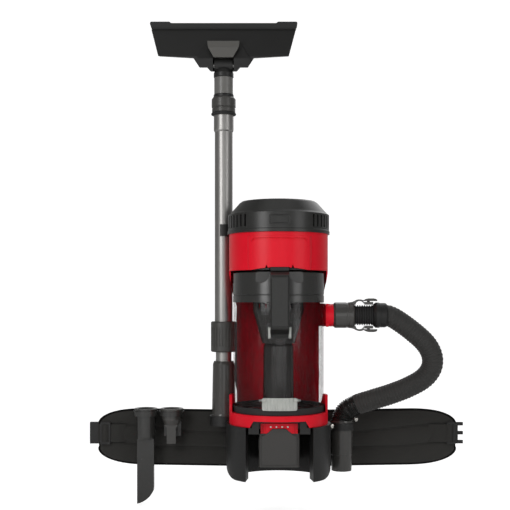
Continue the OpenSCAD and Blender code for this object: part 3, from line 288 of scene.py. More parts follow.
def drawn_metal(name, tone, rough):
    """Drawn upright tube: fine lines along its length, faint smudges."""
    f = Finish(name)
    lines = f.streaks((520.0, 520.0, 6.0))
    smudge = f.noise(22.0, 5.0)
    f.set(base_color=f.mix(lines * 0.35 + smudge * 0.25, shade(tone, 0.90), shade(tone, 1.12)),
          metallic=0.92, roughness=rough + (lines - 0.5) * 0.10 + (smudge - 0.5) * 0.08)
    return f.bumped(lines, 0.00004, 0.35, 0.0006)


def rubber(name, tone, rough=0.62):
    f = Finish(name)
    mottled = f.noise(60.0, 5.0)
    fine = f.noise(900.0, 2.0)
    f.set(base_color=f.mix(mottled, shade(tone, 0.82), shade(tone, 1.2)), roughness=rough + (mottled - 0.5) * 0.14,
          specular_ior_level=0.4)
    return f.bumped(fine, 0.00008, 0.7, 0.0007)


def weave(f, place, pitch):
    """Height of a plain weave, threads pitch apart, on the first two axes of place."""
    turns = math.pi / pitch
    across = f.axis(place, 0) * turns
    along = f.axis(place, 1) * turns
    over = across.math("SINE").math("ABSOLUTE")
    under = along.math("SINE").math("ABSOLUTE")
    check = (across * 0.5).math("SINE") * (along * 0.5).math("SINE")
    side = check.step(-0.25, 0.25)
    return over * side + under * (1 - side)


def woven(name, tone, pitch=0.0009, depth=0.00035, sheen=0.25):
    """Woven nylon: threads, slight colour drift, light lint specks, a soft sheen, and painted shade that darkens its
    creases and hollows.
    """
    f = Finish(name)
    threads = weave(f, f.stretched(f.here(), (1, 1, 1), (math.radians(90), 0, 0)), pitch)
    drift = f.noise(16.0, 5.0)
    lint = f.noise(420.0, 6.0, 0.75).step(0.60, 0.78)
    # Painted shade: pointiness darkens the creases and hollows of the cloth.
    crease_shade = f.node("NewGeometry", out="Pointiness").step(0.445, 0.497)
    cloth = f.mix(threads * 0.6 + drift * 0.4, shade(tone, 0.55), shade(tone, 1.55))
    f.set(base_color=f.mix(crease_shade, shade(tone, 0.30), f.mix(lint * 0.105, cloth, shade(tone, 3.2))),
          roughness=0.78 + (drift - 0.5) * 0.12, specular_ior_level=0.3, sheen_weight=sheen, sheen_roughness=0.45)
    return f.bumped(threads, depth, 0.85)


def webbing_tape(name, tone, sheen=0.2):
    """Ribbed tape, its ribs across the strap's own UV."""
    f = Finish(name)
    place = f.uv()
    ribs = f.axis(place, 0).stripes(0.0016)
    cords = f.axis(place, 1).stripes(0.0011)
    drift = f.noise(30.0, 4.0)
    f.set(base_color=f.mix(ribs * 0.55 + drift * 0.45, shade(tone, 0.6), shade(tone, 1.7)),
          roughness=0.7 + (drift - 0.5) * 0.1, specular_ior_level=0.1 + sheen,
          sheen_weight=sheen, sheen_roughness=0.4)
    return f.bumped(ribs * 0.7 + cords * 0.3, 0.0003, 0.8)


def sleeve_mesh(name, tone):
    """Fine knitted sleeve over the hose's spiral: diagonal mesh on the hose's own UV."""
    f = Finish(name)
    place = f.uv()
    u, v = f.axis(place, 0), f.axis(place, 1)
    threads = (u + v).stripes(0.0022) * (u - v).stripes(0.0022)
    drift = f.noise(20.0, 4.0)
    f.set(base_color=f.mix(threads * 0.7 + drift * 0.3, shade(tone, 0.45), shade(tone, 1.6)),
          roughness=0.62 + (drift - 0.5) * 0.1, specular_ior_level=0.4, sheen_weight=0.15, sheen_roughness=0.4)
    return f.bumped(threads, 0.0003, 0.8)


def spacer_mesh(name, tone):
    """Open spacer mesh of the back pad: rows of small holes."""
    f = Finish(name)
    cells = f.node("TexVoronoi", {}, {"Vector": f.here(), "Scale": 260.0, "Randomness": 0.35}, "Distance")
    drift = f.noise(14.0, 4.0)
    hole = cells.step(0.22, 0.42)
    f.set(base_color=f.mix(hole * 0.8 + drift * 0.2, shade(tone, 0.35), shade(tone, 1.5)),
          roughness=0.82, specular_ior_level=0.25, sheen_weight=0.2, sheen_roughness=0.5)
    return f.bumped(hole, 0.0006, 0.9)


def bristle(name, tone):
    f = Finish(name)
    hairs = f.streaks((1400.0, 60.0, 1400.0))
    f.set(base_color=f.mix(hairs, shade(tone, 0.4), shade(tone, 1.8)), roughness=0.75)
    return f.bumped(hairs, 0.0005, 0.9)


def pleated_paper(name, tone):
    f = Finish(name)
    fibres = f.noise(700.0, 5.0, 0.7)
    dust = f.noise(30.0, 4.0).step(0.45, 0.75)
    f.set(base_color=f.mix(dust * 0.5, f.mix(fibres, shade(tone, 0.9), tone), shade(tone, 0.55)), roughness=0.9)
    return f.bumped(fibres, 0.0001, 0.6)


def turned_steel(name, tone, rough=0.28):
    f = Finish(name)
    rings = f.streaks((90.0, 90.0, 1800.0))
    f.set(base_color=f.mix(rings, shade(tone, 0.9), shade(tone, 1.1)), metallic=1.0,
          roughness=rough + (rings - 0.5) * 0.12)
    return f.bumped(rings, 0.00003, 0.4, 0.0004)


def lamp_lens(name, tone):
    f = Finish(name)
    spot = f.noise(600.0, 2.0)
    f.set(base_color=f.mix(spot, shade(tone, 0.92), tone), roughness=0.22 + spot * 0.06,
          coat_weight=0.5, coat_roughness=0.08)
    return f.material


# ------------ modelling helpers

def mode(name):
    bpy.ops.object.mode_set(mode=name)


def drop_selection():
    if bpy.context.object and bpy.context.object.mode != "OBJECT":
        mode("OBJECT")
    bpy.ops.object.select_all(action="DESELECT")


def pick(piece):
    drop_selection()
    piece.select_set(True)
    bpy.context.view_layer.objects.active = piece


def settle(piece):
    """Puts a piece's place into its mesh and leaves its object at the origin."""
    pick(piece)
    bpy.ops.object.transform_apply(location=True, rotation=True, scale=True)
    return piece


def finish_piece(piece, body, finish, smooth=40):
    """Gives a piece its finish and binds it to its body."""
    piece.data.materials.clear()
    piece.data.materials.append(FINISHES[finish])
    settle(piece)
    if smooth:
        bpy.ops.object.shade_smooth_by_angle(angle=math.radians(smooth))
    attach(piece, body)


def modifier(piece, kind, **settings):
    pick(piece)
    made = piece.modifiers.new(kind.title(), kind)
    for key, value in settings.items():
        setattr(made, key, value)
    bpy.ops.object.modifier_apply(modifier=made.name)


def select_faces(piece, keep):
    """Selects the faces whose centre and normal pass keep, in edit mode's face selection."""
    mode("EDIT")
    bpy.ops.mesh.select_mode(type="FACE")
    bpy.ops.mesh.select_all(action="DESELECT")
    mode("OBJECT")
    for face in piece.data.polygons:
        face.select = bool(keep(face.center, face.normal))
    mode("EDIT")


def from_build(name, build):
    """The object that a bmesh makes, its faces turned outwards."""
    bmesh.ops.recalc_face_normals(build, faces=build.faces)
    mesh = bpy.data.meshes.new(name)
    build.to_mesh(mesh)
    build.free()
    piece = bpy.data.objects.new(name, mesh)
    bpy.context.collection.objects.link(piece)
    return piece


def from_rings(name, rings, caps=True, uv=None):
    """A skin over closed rings of points; uv(ring, point) gives the map where the finish needs one."""
    build = bmesh.new()
    rows = [[build.verts.new(point) for point in ring] for ring in rings]
    across = len(rings[0])
    layer = build.loops.layers.uv.new("UVMap") if uv else None
    for i in range(len(rows) - 1):
        for j in range(across):
            k = (j + 1) % across
            face = build.faces.new((rows[i][j], rows[i][k], rows[i + 1][k], rows[i + 1][j]))
            if layer:
                for loop, (a, b) in zip(face.loops, ((i, j), (i, j + 1), (i + 1, j + 1), (i + 1, j))):
                    loop[layer].uv = uv(a, b)
    if caps:
        for row in (rows[0], rows[-1]):
            build.faces.new(row)
    return from_build(name, build)


def circle(centre, side, up, radius, count, flat=1.0):
    """Points round centre, flattened along side."""
    turns = (math.tau * j / count for j in range(count))
    return [centre + radius * (flat * math.cos(q) * side + math.sin(q) * up) for q in turns]


def running(points):
    """The distance from the first point to each one, along the line."""
    run = [0.0]
    for a, b in zip(points, points[1:]):
        run.append(run[-1] + (b - a).length)
    return run


def spline(points, t):
    """Catmull-Rom through points, t counted in points, as part.scad draws its routes."""
    i = max(1, min(len(points) - 3, math.floor(t)))
    f = t - i
    a, b, c, d = points[i - 1:i + 3]
    return 0.5 * (2 * b + (c - a) * f + (2 * a - 5 * b + 4 * c - d) * f ** 2 + (3 * b - a - 3 * c + d) * f ** 3)


def along(points, start, end, count):
    """Even steps along a spline: centre, direction and distance from the start."""
    fine = [spline(points, start + (end - start) * i / (count * 8)) for i in range(count * 8 + 1)]
    travel = running(fine)
    out = []
    j = 0
    for i in range(count + 1):
        want = travel[-1] * i / count
        while j < len(fine) - 2 and travel[j + 1] < want:
            j += 1
        f = (want - travel[j]) / (travel[j + 1] - travel[j])
        out.append((fine[j].lerp(fine[j + 1], f), (fine[j + 1] - fine[j]).normalized(), want))
    return out


# ------------ hose

HOSE_ROUTE = [at(*point) for point in (
    (198, 0, 319), (207.3, 0, 319), (217.5, 0, 318.6), (231, 0, 313), (248, 0, 302), (268, 0, 287), (290, 0, 267.5),
    (303.5, 2, 249), (309.5, 5, 229), (306, 9, 209), (291, 14, 190), (263, 21, 173), (229, 29, 158.5),
    (192, 36, 146), (161, 43, 135), (140, 48, 122), (131.5, 50, 106), (130.6, 50, 85.2), (130.6, 50, 65))]
RIBS_START = 14         # where the sleeve ends, counted in route points
HOSE_SIDES = 48
IN_CUFF = 0.020         # the last stretch, inside the end cuff, in metres
SPIRAL_PITCH = 0.0062   # from one turn of the spiral to the next, in metres
SPIRAL_SHOWS = 0.0005   # how far a turn shows through the sleeve, in metres
RIB_HEIGHT = 0.0028     # in metres


def hose_radius(distance, bare, total, radius, ribs):
    """The sleeve shows the spiral faintly; past its hem the ribs are bare."""
    end = total - IN_CUFF
    if distance < bare:
        return radius - 0.0006 + SPIRAL_SHOWS * math.cos(distance * math.tau / SPIRAL_PITCH)
    if distance > end:
        return radius - 0.0016
    pitch = (end - bare) / ribs
    phase = ((distance - bare) / pitch) % 1.0
    return radius - 0.0030 + RIB_HEIGHT * max(0.0, math.sin(phase * math.tau)) ** 0.7


class VAC_OT_hose(bpy.types.Operator):
    """Make the hose: a knitted sleeve over its spiral, bare ribs next to the end cuff"""
    bl_idname = "vac.hose"
    bl_label = "Hose"

    def execute(self, context):
        made = context.scene.vac_hose
        stations = along(HOSE_ROUTE, 1, len(HOSE_ROUTE) - 2, made.rings)
        total = stations[-1][2]
        bare = along(HOSE_ROUTE, 1, RIBS_START, 80)[-1][2]
        rings = []
        for centre, way, distance in stations:
            side = Vector((0, 1, 0)).cross(way).normalized()
            up = way.cross(side)
            radius = hose_radius(distance, bare, total, made.diameter / 2, made.ribs)
            rings.append(circle(centre, side, up, radius, HOSE_SIDES))
        girth = math.pi * made.diameter
        hose = from_rings("hose_sleeve", rings, uv=lambda i, j: (stations[i][2], girth * j / HOSE_SIDES))
        split = [i for i, station in enumerate(stations) if station[2] > bare][0]
        finish_piece(hose, "vac", "sleeve", 60)
        hose.data.materials.append(FINISHES["ribs"])
        for face in hose.data.polygons:
            if face.index >= split * HOSE_SIDES:
                face.material_index = 1
        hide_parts("hose")
        return {"FINISHED"}


# ------------ padded fabric

BELT_REACH, BELT_H, BELT_T, BELT_Y, HINGE_X = 377, 117, 16, 115, 98
WING_STEPS, WING_ACROSS = 84, 46
WING_END, END_HALF = 107, 28    # length of the wing's rounded end and half the height of its blunt tip, in mm
BINDING_IN = 1.6                # how far the binding lies inside the edge, in mm
TAPER_FROM, TAPER_SPAN = 0.86, 0.145    # where the wing's padding thins towards its end, as shares of its length
SUNK = 0.62                     # share of the padding's depth that a sewn line takes away
THREAD_OUT = 4.2                # how far the belt's stitches lie in front of its middle, in mm
BELT_WEB, STRAP_WEB = 0.038, 0.025      # widths of the belt's and the straps' webbing, in metres


def crown(u, power=5):
    """Depth of padding across its width: full in the middle, drawn in at the edge."""
    return math.sqrt(max(0.0, 1 - abs(u) ** power))


def wing_half(x):
    """Half height of a belt wing at x mm from the middle; its outer end is a blunt round."""
    u = max(0.0, (x - BELT_REACH + WING_END) / WING_END)
    return END_HALF + (BELT_H / 2 - END_HALF) * max(0.0, 1 - u ** 2.6) ** 0.55


def wing_level(x):
    return BELT_LEVEL - 3 + 6 * (x - HINGE_X) / BELT_REACH


def wing_seams(x):
    """Where the two sewn lines run at x mm from the middle, as shares of the half height."""
    return min(0.46, 0.18 + 0.0017 * max(0.0, x - 165)), -0.36 + 0.0016 * max(0.0, x - 254)


def groove(v, seams, width):
    return sum(math.exp(-((v - seam) / width) ** 2) for seam in seams)


def inflate(piece, pinned, pressure, limit):
    """Blows the padding up between its pinned seams, then caps how far any point went."""
    rest = [vertex.co.copy() for vertex in piece.data.vertices]
    seams = piece.vertex_groups.new(name="seams")
    for index, weight in pinned.items():
        seams.add([index], weight, "REPLACE")
    pick(piece)
    cloth = piece.modifiers.new("Cloth", "CLOTH")
    fabric = cloth.settings
    fabric.quality = 6
    fabric.mass = 0.25
    fabric.tension_stiffness = fabric.compression_stiffness = 12
    fabric.shear_stiffness = 5
    fabric.bending_stiffness = 0.4
    fabric.air_damping = 2
    fabric.vertex_group_mass = "seams"
    fabric.use_pressure = True
    fabric.uniform_pressure_force = pressure
    fabric.effector_weights.gravity = 0
    cloth.collision_settings.use_collision = False
    cloth.collision_settings.use_self_collision = False
    scene = bpy.context.scene
    for tick in range(1, 19):
        scene.frame_set(tick)
    shaped = piece.evaluated_get(bpy.context.evaluated_depsgraph_get()).to_mesh()
    moved = [vertex.co.copy() for vertex in shaped.vertices]
    piece.modifiers.clear()
    scene.frame_set(1)
    for vertex, start, end in zip(piece.data.vertices, rest, moved):
        step = end - start
        if step.length > limit:
            step *= limit / step.length
        vertex.co = start + step
    piece.vertex_groups.clear()


def tube_along(name, points, radius, closed=False, sides=10, flat=1.0):
    """A round or flattened tube along points."""
    rings = []
    last = len(points) - 1
    for i, point in enumerate(points):
        before = points[(i - 1) % len(points)] if closed or i else point
        after = points[(i + 1) % len(points)] if closed or i < last else point
        way = (after - before).normalized()
        side = Vector((0, 1, 0)).cross(way)
        side = side.normalized() if side.length > 1e-4 else Vector((1, 0, 0))
        up = way.cross(side)
        rings.append(circle(point, side, up, radius, sides, flat))
    if closed:
        rings.append(rings[0])
    run = running(points + points[:1])
    piece = from_rings(name, rings, caps=not closed, uv=lambda i, j: (run[i], radius * math.tau * j / sides))
    if closed:
        modifier(piece, "WELD", merge_threshold=0.00001)
    return piece


def strap_band(name, centres, across, width, thick):
    """A flat strap that follows centres, its width along across; returned with a UV in metres."""
    half = thick / 2
    rings = []
    last = len(centres) - 1
    for i, centre in enumerate(centres):
        way = (centres[min(last, i + 1)] - centres[max(0, i - 1)]).normalized()
        out = way.cross(across).normalized()
        rim = width / 2 - half * 0.8
        rings.append([centre + across * x + out * y for x, y in (
            (-width / 2, 0), (-rim, half), (-rim * 0.33, half * 0.92), (rim * 0.33, half * 0.92), (rim, half),
            (width / 2, 0), (rim, -half), (-rim, -half))])
    run = running(centres)
    return from_rings(name, rings, uv=lambda i, j: (run[i], width * min(j, 8 - j) / 4))


def stitches(name, points, outward, stitch=0.0042, radius=0.00045, lift=0.0004):
    """Separate short threads along points, each a slim bent bar."""
    build = bmesh.new()
    travel = running(points)

    def point_at(distance):
        i = max(k for k in range(len(travel) - 1) if travel[k] <= distance or k == 0)
        span = max(1e-9, travel[i + 1] - travel[i])
        return points[i].lerp(points[i + 1], min(1.0, (distance - travel[i]) / span))

    count = int(travel[-1] / stitch)
    for i in range(count):
        a, b = point_at(i * stitch), point_at((i + 0.66) * stitch)
        way = (b - a).normalized()
        side = way.cross(outward).normalized() * radius
        rows = []
        for f, rise in ((0.0, -0.6), (0.22, 0.6), (0.78, 0.6), (1.0, -0.6)):
            centre = a.lerp(b, f) + outward * lift * rise
            rows.append([build.verts.new(centre + side * x + outward * radius * y)
                         for x, y in ((-1, 0), (0, 1), (1, 0), (0, -0.8))])
        for r, s in zip(rows, rows[1:]):
            for j in range(4):
                k = (j + 1) % 4
                build.faces.new((r[j], r[k], s[k], s[j]))
        build.faces.new(rows[0][::-1])
        build.faces.new(rows[-1])
    return from_build(name, build)


def smooth_path(points, steps=40):
    """A strap's centre line through points."""
    points = [points[0]] + points + [points[-1]]
    return [spline(points, 1 + (len(points) - 3) * i / steps) for i in range(steps + 1)]


def soft_piece(pad, body, finish):
    """Rounds off an inflated pad and gives it its cloth."""
    modifier(pad, "SUBSURF", levels=1, render_levels=1)
    finish_piece(pad, body, finish, 0)
    pick(pad)
    bpy.ops.object.shade_smooth()


def both_faces(steps):
    """Round a pad: face and share of the half width, over the first face and back over the second."""
    lines = [math.sin(math.pi / 2 * (2 * k / steps - 1)) for k in range(steps + 1)]
    return [(-1, v) for v in lines] + [(1, v) for v in lines[-2:0:-1]]


def wing_pad(side, tag, made):
    """One padded wing of the belt: two skins, pinned at the edge and at two sewn lines, then inflated."""
    body = f"belt_{tag}"
    round_end = [HINGE_X - BELT_T / 2 * math.sin(math.radians(a)) for a in (82, 60, 35, 12)]
    stations = [(x, math.sqrt(max(0.03, 1 - ((HINGE_X - x) / (BELT_T / 2)) ** 2))) for x in round_end]
    for i in range(WING_STEPS + 1):
        s = (i / WING_STEPS) ** 0.85
        x = HINGE_X + s * (BELT_REACH - HINGE_X)
        stations.append((x, 0.1 + 0.9 * crown(max(0.0, (s - TAPER_FROM) / TAPER_SPAN), 2.2)))
    around = both_faces(WING_ACROSS)
    rings, pinned = [], {}
    for i, (x, full) in enumerate(stations):
        half, level, seams = wing_half(x), wing_level(x), wing_seams(x)
        ring = []
        for j, (face, v) in enumerate(around):
            seamed = 1 - SUNK * groove(v, seams, 0.055)
            depth = BELT_T / 2 * 0.86 * max(0.16, crown(v * 0.985, 4)) * seamed * full
            ring.append(at(side * x, BELT_Y + face * depth, level + v * half))
            edge = abs(v) > 0.97 or i < 5 or i > len(stations) - 3
            if edge or any(abs(v - line) < 0.036 for line in seams):
                pinned[i * len(around) + j] = 1.0
        rings.append(ring)
    pad = from_rings(f"belt_pad_{tag}", rings)
    inflate(pad, pinned, made.puff, made.swell)
    soft_piece(pad, body, "fabric")
    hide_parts(body)


def wing_outline(side):
    """The wing's edge from its hinge along the top, round the end and back along the bottom."""
    top, bottom = [], []
    for i in range(97):
        s = 1 - (1 - i / 96) ** 1.6
        x = HINGE_X + s * (BELT_REACH - HINGE_X)
        top.append((x, wing_level(x) + wing_half(x) - BINDING_IN))
        bottom.append((x, wing_level(x) - wing_half(x) + BINDING_IN))
    high, low = top[-1][1], bottom[-1][1]
    end = [(BELT_REACH - BINDING_IN, high + (low - high) * i / 12) for i in range(1, 12)]
    return [at(side * x, BELT_Y, z) for x, z in top + end + bottom[::-1]]


class VAC_OT_belts(bpy.types.Operator):
    """Make both padded wings of the waist belt with their binding, sewn lines and webbing"""
    bl_idname = "vac.belts"
    bl_label = "Waist belt"

    def execute(self, context):
        made = context.scene.vac_harness
        for side, tag in SIDES:
            body = f"belt_{tag}"
            wing_pad(side, tag, made)
            binding = tube_along(f"belt_binding_{tag}", wing_outline(side), made.binding, sides=12, flat=0.8)
            finish_piece(binding, body, "binding", 60)
            for row in range(2):
                line = [at(side * x, BELT_Y - THREAD_OUT, wing_level(x) + wing_seams(x)[row] * wing_half(x))
                        for x in range(106, 368, 3)]
                thread = stitches(f"belt_stitch_{tag}_{row}", line, Vector((0, -1, 0)))
                finish_piece(thread, body, "thread", 0)
            webbing_at_buckle(side, tag, body, made)
        return {"FINISHED"}


def webbing_at_buckle(side, tag, body, made):
    """Webbing that comes out of the padding, through the ladder lock's bars, to the clip."""
    level = BELT_LEVEL + 8
    front = BELT_Y - BELT_T / 2
    path = [(BELT_REACH + x, front + y) for x, y in (
        (-58, 2.5), (-44, -0.6), (-30, -2.0), (-22, -3.0), (-14, -6.4), (-6, -3.0), (1, 1.5), (3.5, 4.5))]
    centres = smooth_path([at(side * x, y, level) for x, y in path])
    strap = strap_band(f"belt_webbing_{tag}", centres, Vector((0, 0, 1)), BELT_WEB, made.webbing)
    finish_piece(strap, body, "tape", 50)


# ------------ harness

WAIST = (BELT_LEVEL - BELT_H / 2, BELT_LEVEL + BELT_H / 2)
PAD_TOP, PAD_HALF, PAD_NARROW, PLATE_REAR = 400, 89.5, 56.0, 107
PAD_UP, PAD_OVER = 110, 34      # steps of the back pad's mesh, along and across
CORNER = 14                     # height of the back pad's rounded corners, in mm
PAD_SEAMS = (0.235, 0.47, 0.72)
STRAP_HALF, STRAP_DEPTH = 25.5, 4.4     # half width and half depth of the shoulder straps, in mm
STRAP_OVER = 14                         # steps of a strap's mesh across
STRAP_ROUTE = ((107.9, 425), (118, 426), (132, 432), (150, 434), (168, 425), (180, 402), (184, 366),
               (181, 322), (172, 276), (160, 232), (148, 198), (138, 170), (132, 149))
ADJUSTER_ROUTE = ((66, 131.6, 130), (66, 132.6, 124), (67, 131.5, 112), (69, 128, 96), (72, 123.5, 80),
                  (76, 121.5, 64), (78, 120.5, 52))


def pad_edge(s, inset):
    """The back pad's level and half width at share s of its height, with rounded corners."""
    tall = PAD_TOP - WAIST[0]
    z = WAIST[0] + 2 + s * (tall - 4)
    corner = max(0.0, 1 - min(s, 1 - s) * tall / CORNER)
    return z, pad_half(z) - inset - (CORNER - 1) * (1 - math.sqrt(max(0.0, 1 - corner ** 2)))


def pad_half(z):
    return PAD_HALF if z < WAIST[1] else max(PAD_NARROW, PAD_HALF - (z - WAIST[1]) * 0.75)


class VAC_OT_back_pad(bpy.types.Operator):
    """Make the back pad: spacer mesh over foam, with three sewn channels and a bound edge"""
    bl_idname = "vac.back_pad"
    bl_label = "Back pad"

    def execute(self, context):
        made = context.scene.vac_harness
        up, over = PAD_UP, PAD_OVER
        rings, pinned = [], {}
        for i in range(up + 1):
            s = 0.5 - 0.5 * math.cos(math.pi * i / up) if i in (0, 1, up - 1, up) else i / up
            z, half = pad_edge(s, 2)
            full = 0.30 + 0.70 * crown(2 * s - 1, 14)
            depth = 15.2 * full * (1 - 0.42 * groove(s, PAD_SEAMS, 0.010))
            front = [at(half * u, PLATE_REAR + 0.6 + depth * (0.32 + 0.68 * crown(u * 0.99, 6)), z)
                     for u in (math.sin(math.pi / 2 * (2 * k / over - 1)) for k in range(over + 1))]
            back = [at(half * u, PLATE_REAR + 0.6, z) for u in (1, 0.5, 0, -0.5, -1)]
            rings.append(front + back)
            row = i * len(rings[0])
            for j in range(len(rings[0])):
                u = abs(2 * j / over - 1)
                if j > over or u > 0.93 or i < 3 or i > up - 3 or any(abs(s - seam) < 0.008 for seam in PAD_SEAMS):
                    pinned[row + j] = 1.0
        pad = from_rings("back_pad_cushion", rings)
        inflate(pad, pinned, made.puff, min(made.swell, 0.0022))
        soft_piece(pad, "vac", "spacer")
        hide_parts("back_pad")
        edge = [pad_edge(i / up, 1.8) for i in range(0, up + 1, 2)]
        loop = [at(side * x, PLATE_REAR + 3.2, z) for side, line in ((1, edge), (-1, edge[::-1])) for z, x in line]
        binding = tube_along("back_pad_binding", loop, made.binding * 0.85, closed=True, sides=12, flat=0.7)
        finish_piece(binding, "vac", "tape", 60)
        for row, seam in enumerate(PAD_SEAMS):
            z = WAIST[0] + seam * (PAD_TOP - WAIST[0])
            span = int(pad_half(z)) - 8
            line = [at(x, PLATE_REAR + 12.3, z) for x in range(-span, span, 3)]
            thread = stitches(f"back_pad_stitch_{row}", line, Vector((0, 1, 0)))
            finish_piece(thread, "vac", "thread", 0)
        return {"FINISHED"}


def strap_stations(side, steps):
    """The shoulder strap's centre line: place, outward side and distance from its top."""
    points = [at(side * (50 + 1.3 * i), y, z) for i, (y, z) in enumerate(STRAP_ROUTE)]
    points = [2 * points[0] - points[1]] + points + [2 * points[-1] - points[-2]]
    out = []
    for centre, way, distance in along(points, 1, len(points) - 2, steps):
        outward = Vector((1, 0, 0)).cross(way).normalized()
        out.append((centre, -outward, distance))
    return out


def strap_half(left):
    """Half width of a shoulder strap, left metres above its tapered lower end."""
    return STRAP_HALF * MM * (1 - 0.42 * max(0.0, 1 - left / 0.05) ** 2)


def strap_pad(side, tag, made):
    """A padded shoulder strap, tapered at its lower end, crowned across and inflated between its edges."""
    stations = strap_stations(side, 96)
    total = stations[-1][2]
    around = both_faces(STRAP_OVER)
    rings, pinned = [], {}
    for i, (centre, outward, distance) in enumerate(stations):
        left = total - distance
        half = strap_half(left)
        full = min(1.0, 0.35 + distance / 0.03) * min(1.0, 0.35 + left / 0.02)
        ring = []
        for j, (face, u) in enumerate(around):
            crowned = max(0.2, crown(u * 0.98, 4))
            ring.append(centre + Vector((u * half, 0, 0)) - outward * face * STRAP_DEPTH * MM * full * crowned)
            if abs(u) > 0.94 or i < 3 or i > len(stations) - 4:
                pinned[i * len(around) + j] = 1.0
        rings.append(ring)
    name = f"shoulder_strap_{tag}"
    strap = from_rings(name, rings)
    inflate(strap, pinned, made.puff, 0.0015)
    soft_piece(strap, "vac", "fabric")
    for edge in (-1, 1):
        line = [centre + Vector((edge * strap_half(total - distance), 0, 0)) for centre, _, distance in stations]
        binding = tube_along(f"{name}_binding_{'ab'[edge > 0]}", line, made.binding * 0.8)
        finish_piece(binding, "vac", "tape", 60)
    return strap


class VAC_OT_shoulder_straps(bpy.types.Operator):
    """Make the padded shoulder straps, the webbing sewn along them and the adjusting straps below"""
    bl_idname = "vac.shoulder_straps"
    bl_label = "Shoulder straps"

    def execute(self, context):
        made = context.scene.vac_harness
        straps = [strap_pad(side, tag, made) for side, tag in SIDES]
        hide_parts("shoulder_straps")
        for side, tag in SIDES:
            outer = [centre + outward * 5.6 * MM for centre, outward, distance in strap_stations(side, 120)
                     if distance > 0.03]
            low = [at(side * x, y, z) for x, y, z in ((66, 136, 146), (66, 133.6, 141), (66, 132.4, 134))]
            tail = smooth_path([at(side * x, y, z) for x, y, z in ADJUSTER_ROUTE])
            for name, line in ((f"strap_webbing_{tag}", outer + low), (f"strap_adjuster_{tag}", tail)):
                band = strap_band(name, line, Vector((1, 0, 0)), STRAP_WEB, made.webbing)
                finish_piece(band, "vac", "tape", 50)
        return {"FINISHED"}


# ------------ finishes and stage

FINISHES = {}

NODE_FINISHES = {
    "cap": "exhaust_cap",
    "red": "motor_housing base_skirt inlet_port battery_top",
    "frame": "back_frame",
    "collar": "bin_collar crevice_tool tool_holders",
    "charcoal": "bin_handle",
    "black": ("motor_deck base_shell battery_dock battery_button_left battery_button_right handle_catch "
              "release_button hose_sleeve_end side_clips harness_plate strap_buckles grab_handle "
              "tool_neck floor_head left_buckle right_buckle"),
    "screen": "separator_bucket cyclone_tube",
    "door": "bin_door",
    "grey": "impeller hose_button_upper hose_button_lower wand_collar lock_collar",
    "gloss": "hose_connector hose_end_cuff brush_tool wand_grip",
    "pack": "battery_case",
    "neck": "neck_sleeve",
    "hood": "hinge_cover",
    "clear": "bin_shell",
    "latch": "door_latch",
    "metal": "wand_outer_tube wand_inner_tube",
    "steel": "motor door_pin head_pin",
    "rubber": "door_ring hose_bellows wand_o_ring floor_bumper",
    "bristle": "floor_brushes",
    "paper": "filter",
    "lens": "battery_gauge",
}


class VAC_OT_finishes(bpy.types.Operator):
    """Make every finish and put it on the moulded, metal and rubber pieces"""
    bl_idname = "vac.finishes"
    bl_label = "Finishes"

    def execute(self, context):
        tones = context.scene.vac_plastic
        red, black, charcoal, grey, metal = (
            tuple(tone) for tone in (tones.red, tones.black, tones.charcoal, tones.grey, tones.metal))
        cloth = tuple(context.scene.vac_harness.fabric)
        FINISHES.update({
            "cap": moulded("cap_plastic", charcoal, 0.32),
            "red": moulded("red_plastic", red, 0.36, 0.00003, scuff=0.3, specular=0.25),
            "charcoal": moulded("charcoal_plastic", charcoal, 0.34),
            # Painted light: the back frame's red is brightened by 1.35 to make up for the shade it stands in behind
            # the clear bin.
            "frame": moulded("brightened_frame_plastic", shade(red, 1.35), 0.42, scuff=0.3, specular=0.2),
            "collar": moulded("collar_plastic", shade(charcoal, 1.18), 0.24, specular=0.65),
            "black": moulded("black_plastic", black, 0.42),
            "door": moulded("door_plastic", black, 0.14, specular=0.55),
            "screen": perforated("separator_plastic", charcoal, 300.0),
            "grey": moulded("grey_plastic", grey, 0.38, coat=0.1),
            "gloss": moulded("gloss_plastic", shade(grey, 0.95), 0.20, specular=0.6),
            "ribs": rubber("rib_rubber", (0.021, 0.021, 0.020), 0.28),
            "pack": moulded("pack_plastic", (0.055, 0.053, 0.050), 0.5, 0.0001),
            "neck": moulded("neck_plastic", (0.16, 0.157, 0.148), 0.36, coat=0.15),
            "hood": moulded("hood_plastic", (0.115, 0.112, 0.104), 0.40),
            "clear": clear_plastic("clear_plastic", (0.012, 0.004, 0.004), 0.10, 0.36, specular=0.9),
            "latch": clear_plastic("latch_plastic", (0.72, 0.74, 0.70), 0.72, 0.97, ribs=46.0),
            "metal": drawn_metal("drawn_aluminium", metal, 0.40),
            "steel": turned_steel("turned_steel", (0.50, 0.49, 0.48)),
            "zinc": turned_steel("zinc_screw", (0.62, 0.60, 0.56), 0.24),
            "rubber": rubber("soft_rubber", (0.020, 0.020, 0.020)),
            "bristle": bristle("bristle_fibre", (0.03, 0.03, 0.03)),
            "paper": pleated_paper("filter_paper", (0.78, 0.77, 0.72)),
            "lens": lamp_lens("lamp_lens", (0.80, 0.80, 0.76)),
            "sleeve": sleeve_mesh("hose_sleeve", (0.036, 0.035, 0.033)),
            "fabric": woven("padded_nylon", cloth),
            "spacer": spacer_mesh("spacer_mesh", shade(cloth, 1.1)),
            "tape": webbing_tape("strap_tape", shade(cloth, 0.75)),
            "binding": webbing_tape("binding_tape", shade(cloth, 0.16), 0.0),
            "thread": woven("sewing_thread", shade(cloth, 1.6), 0.0003, 0.0001, sheen=0.1),
        })
        for key, nodes in NODE_FINISHES.items():
            for node in nodes.split():
                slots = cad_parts[node].data.materials
                slots.clear()
                slots.append(FINISHES[key])
        return {"FINISHED"}


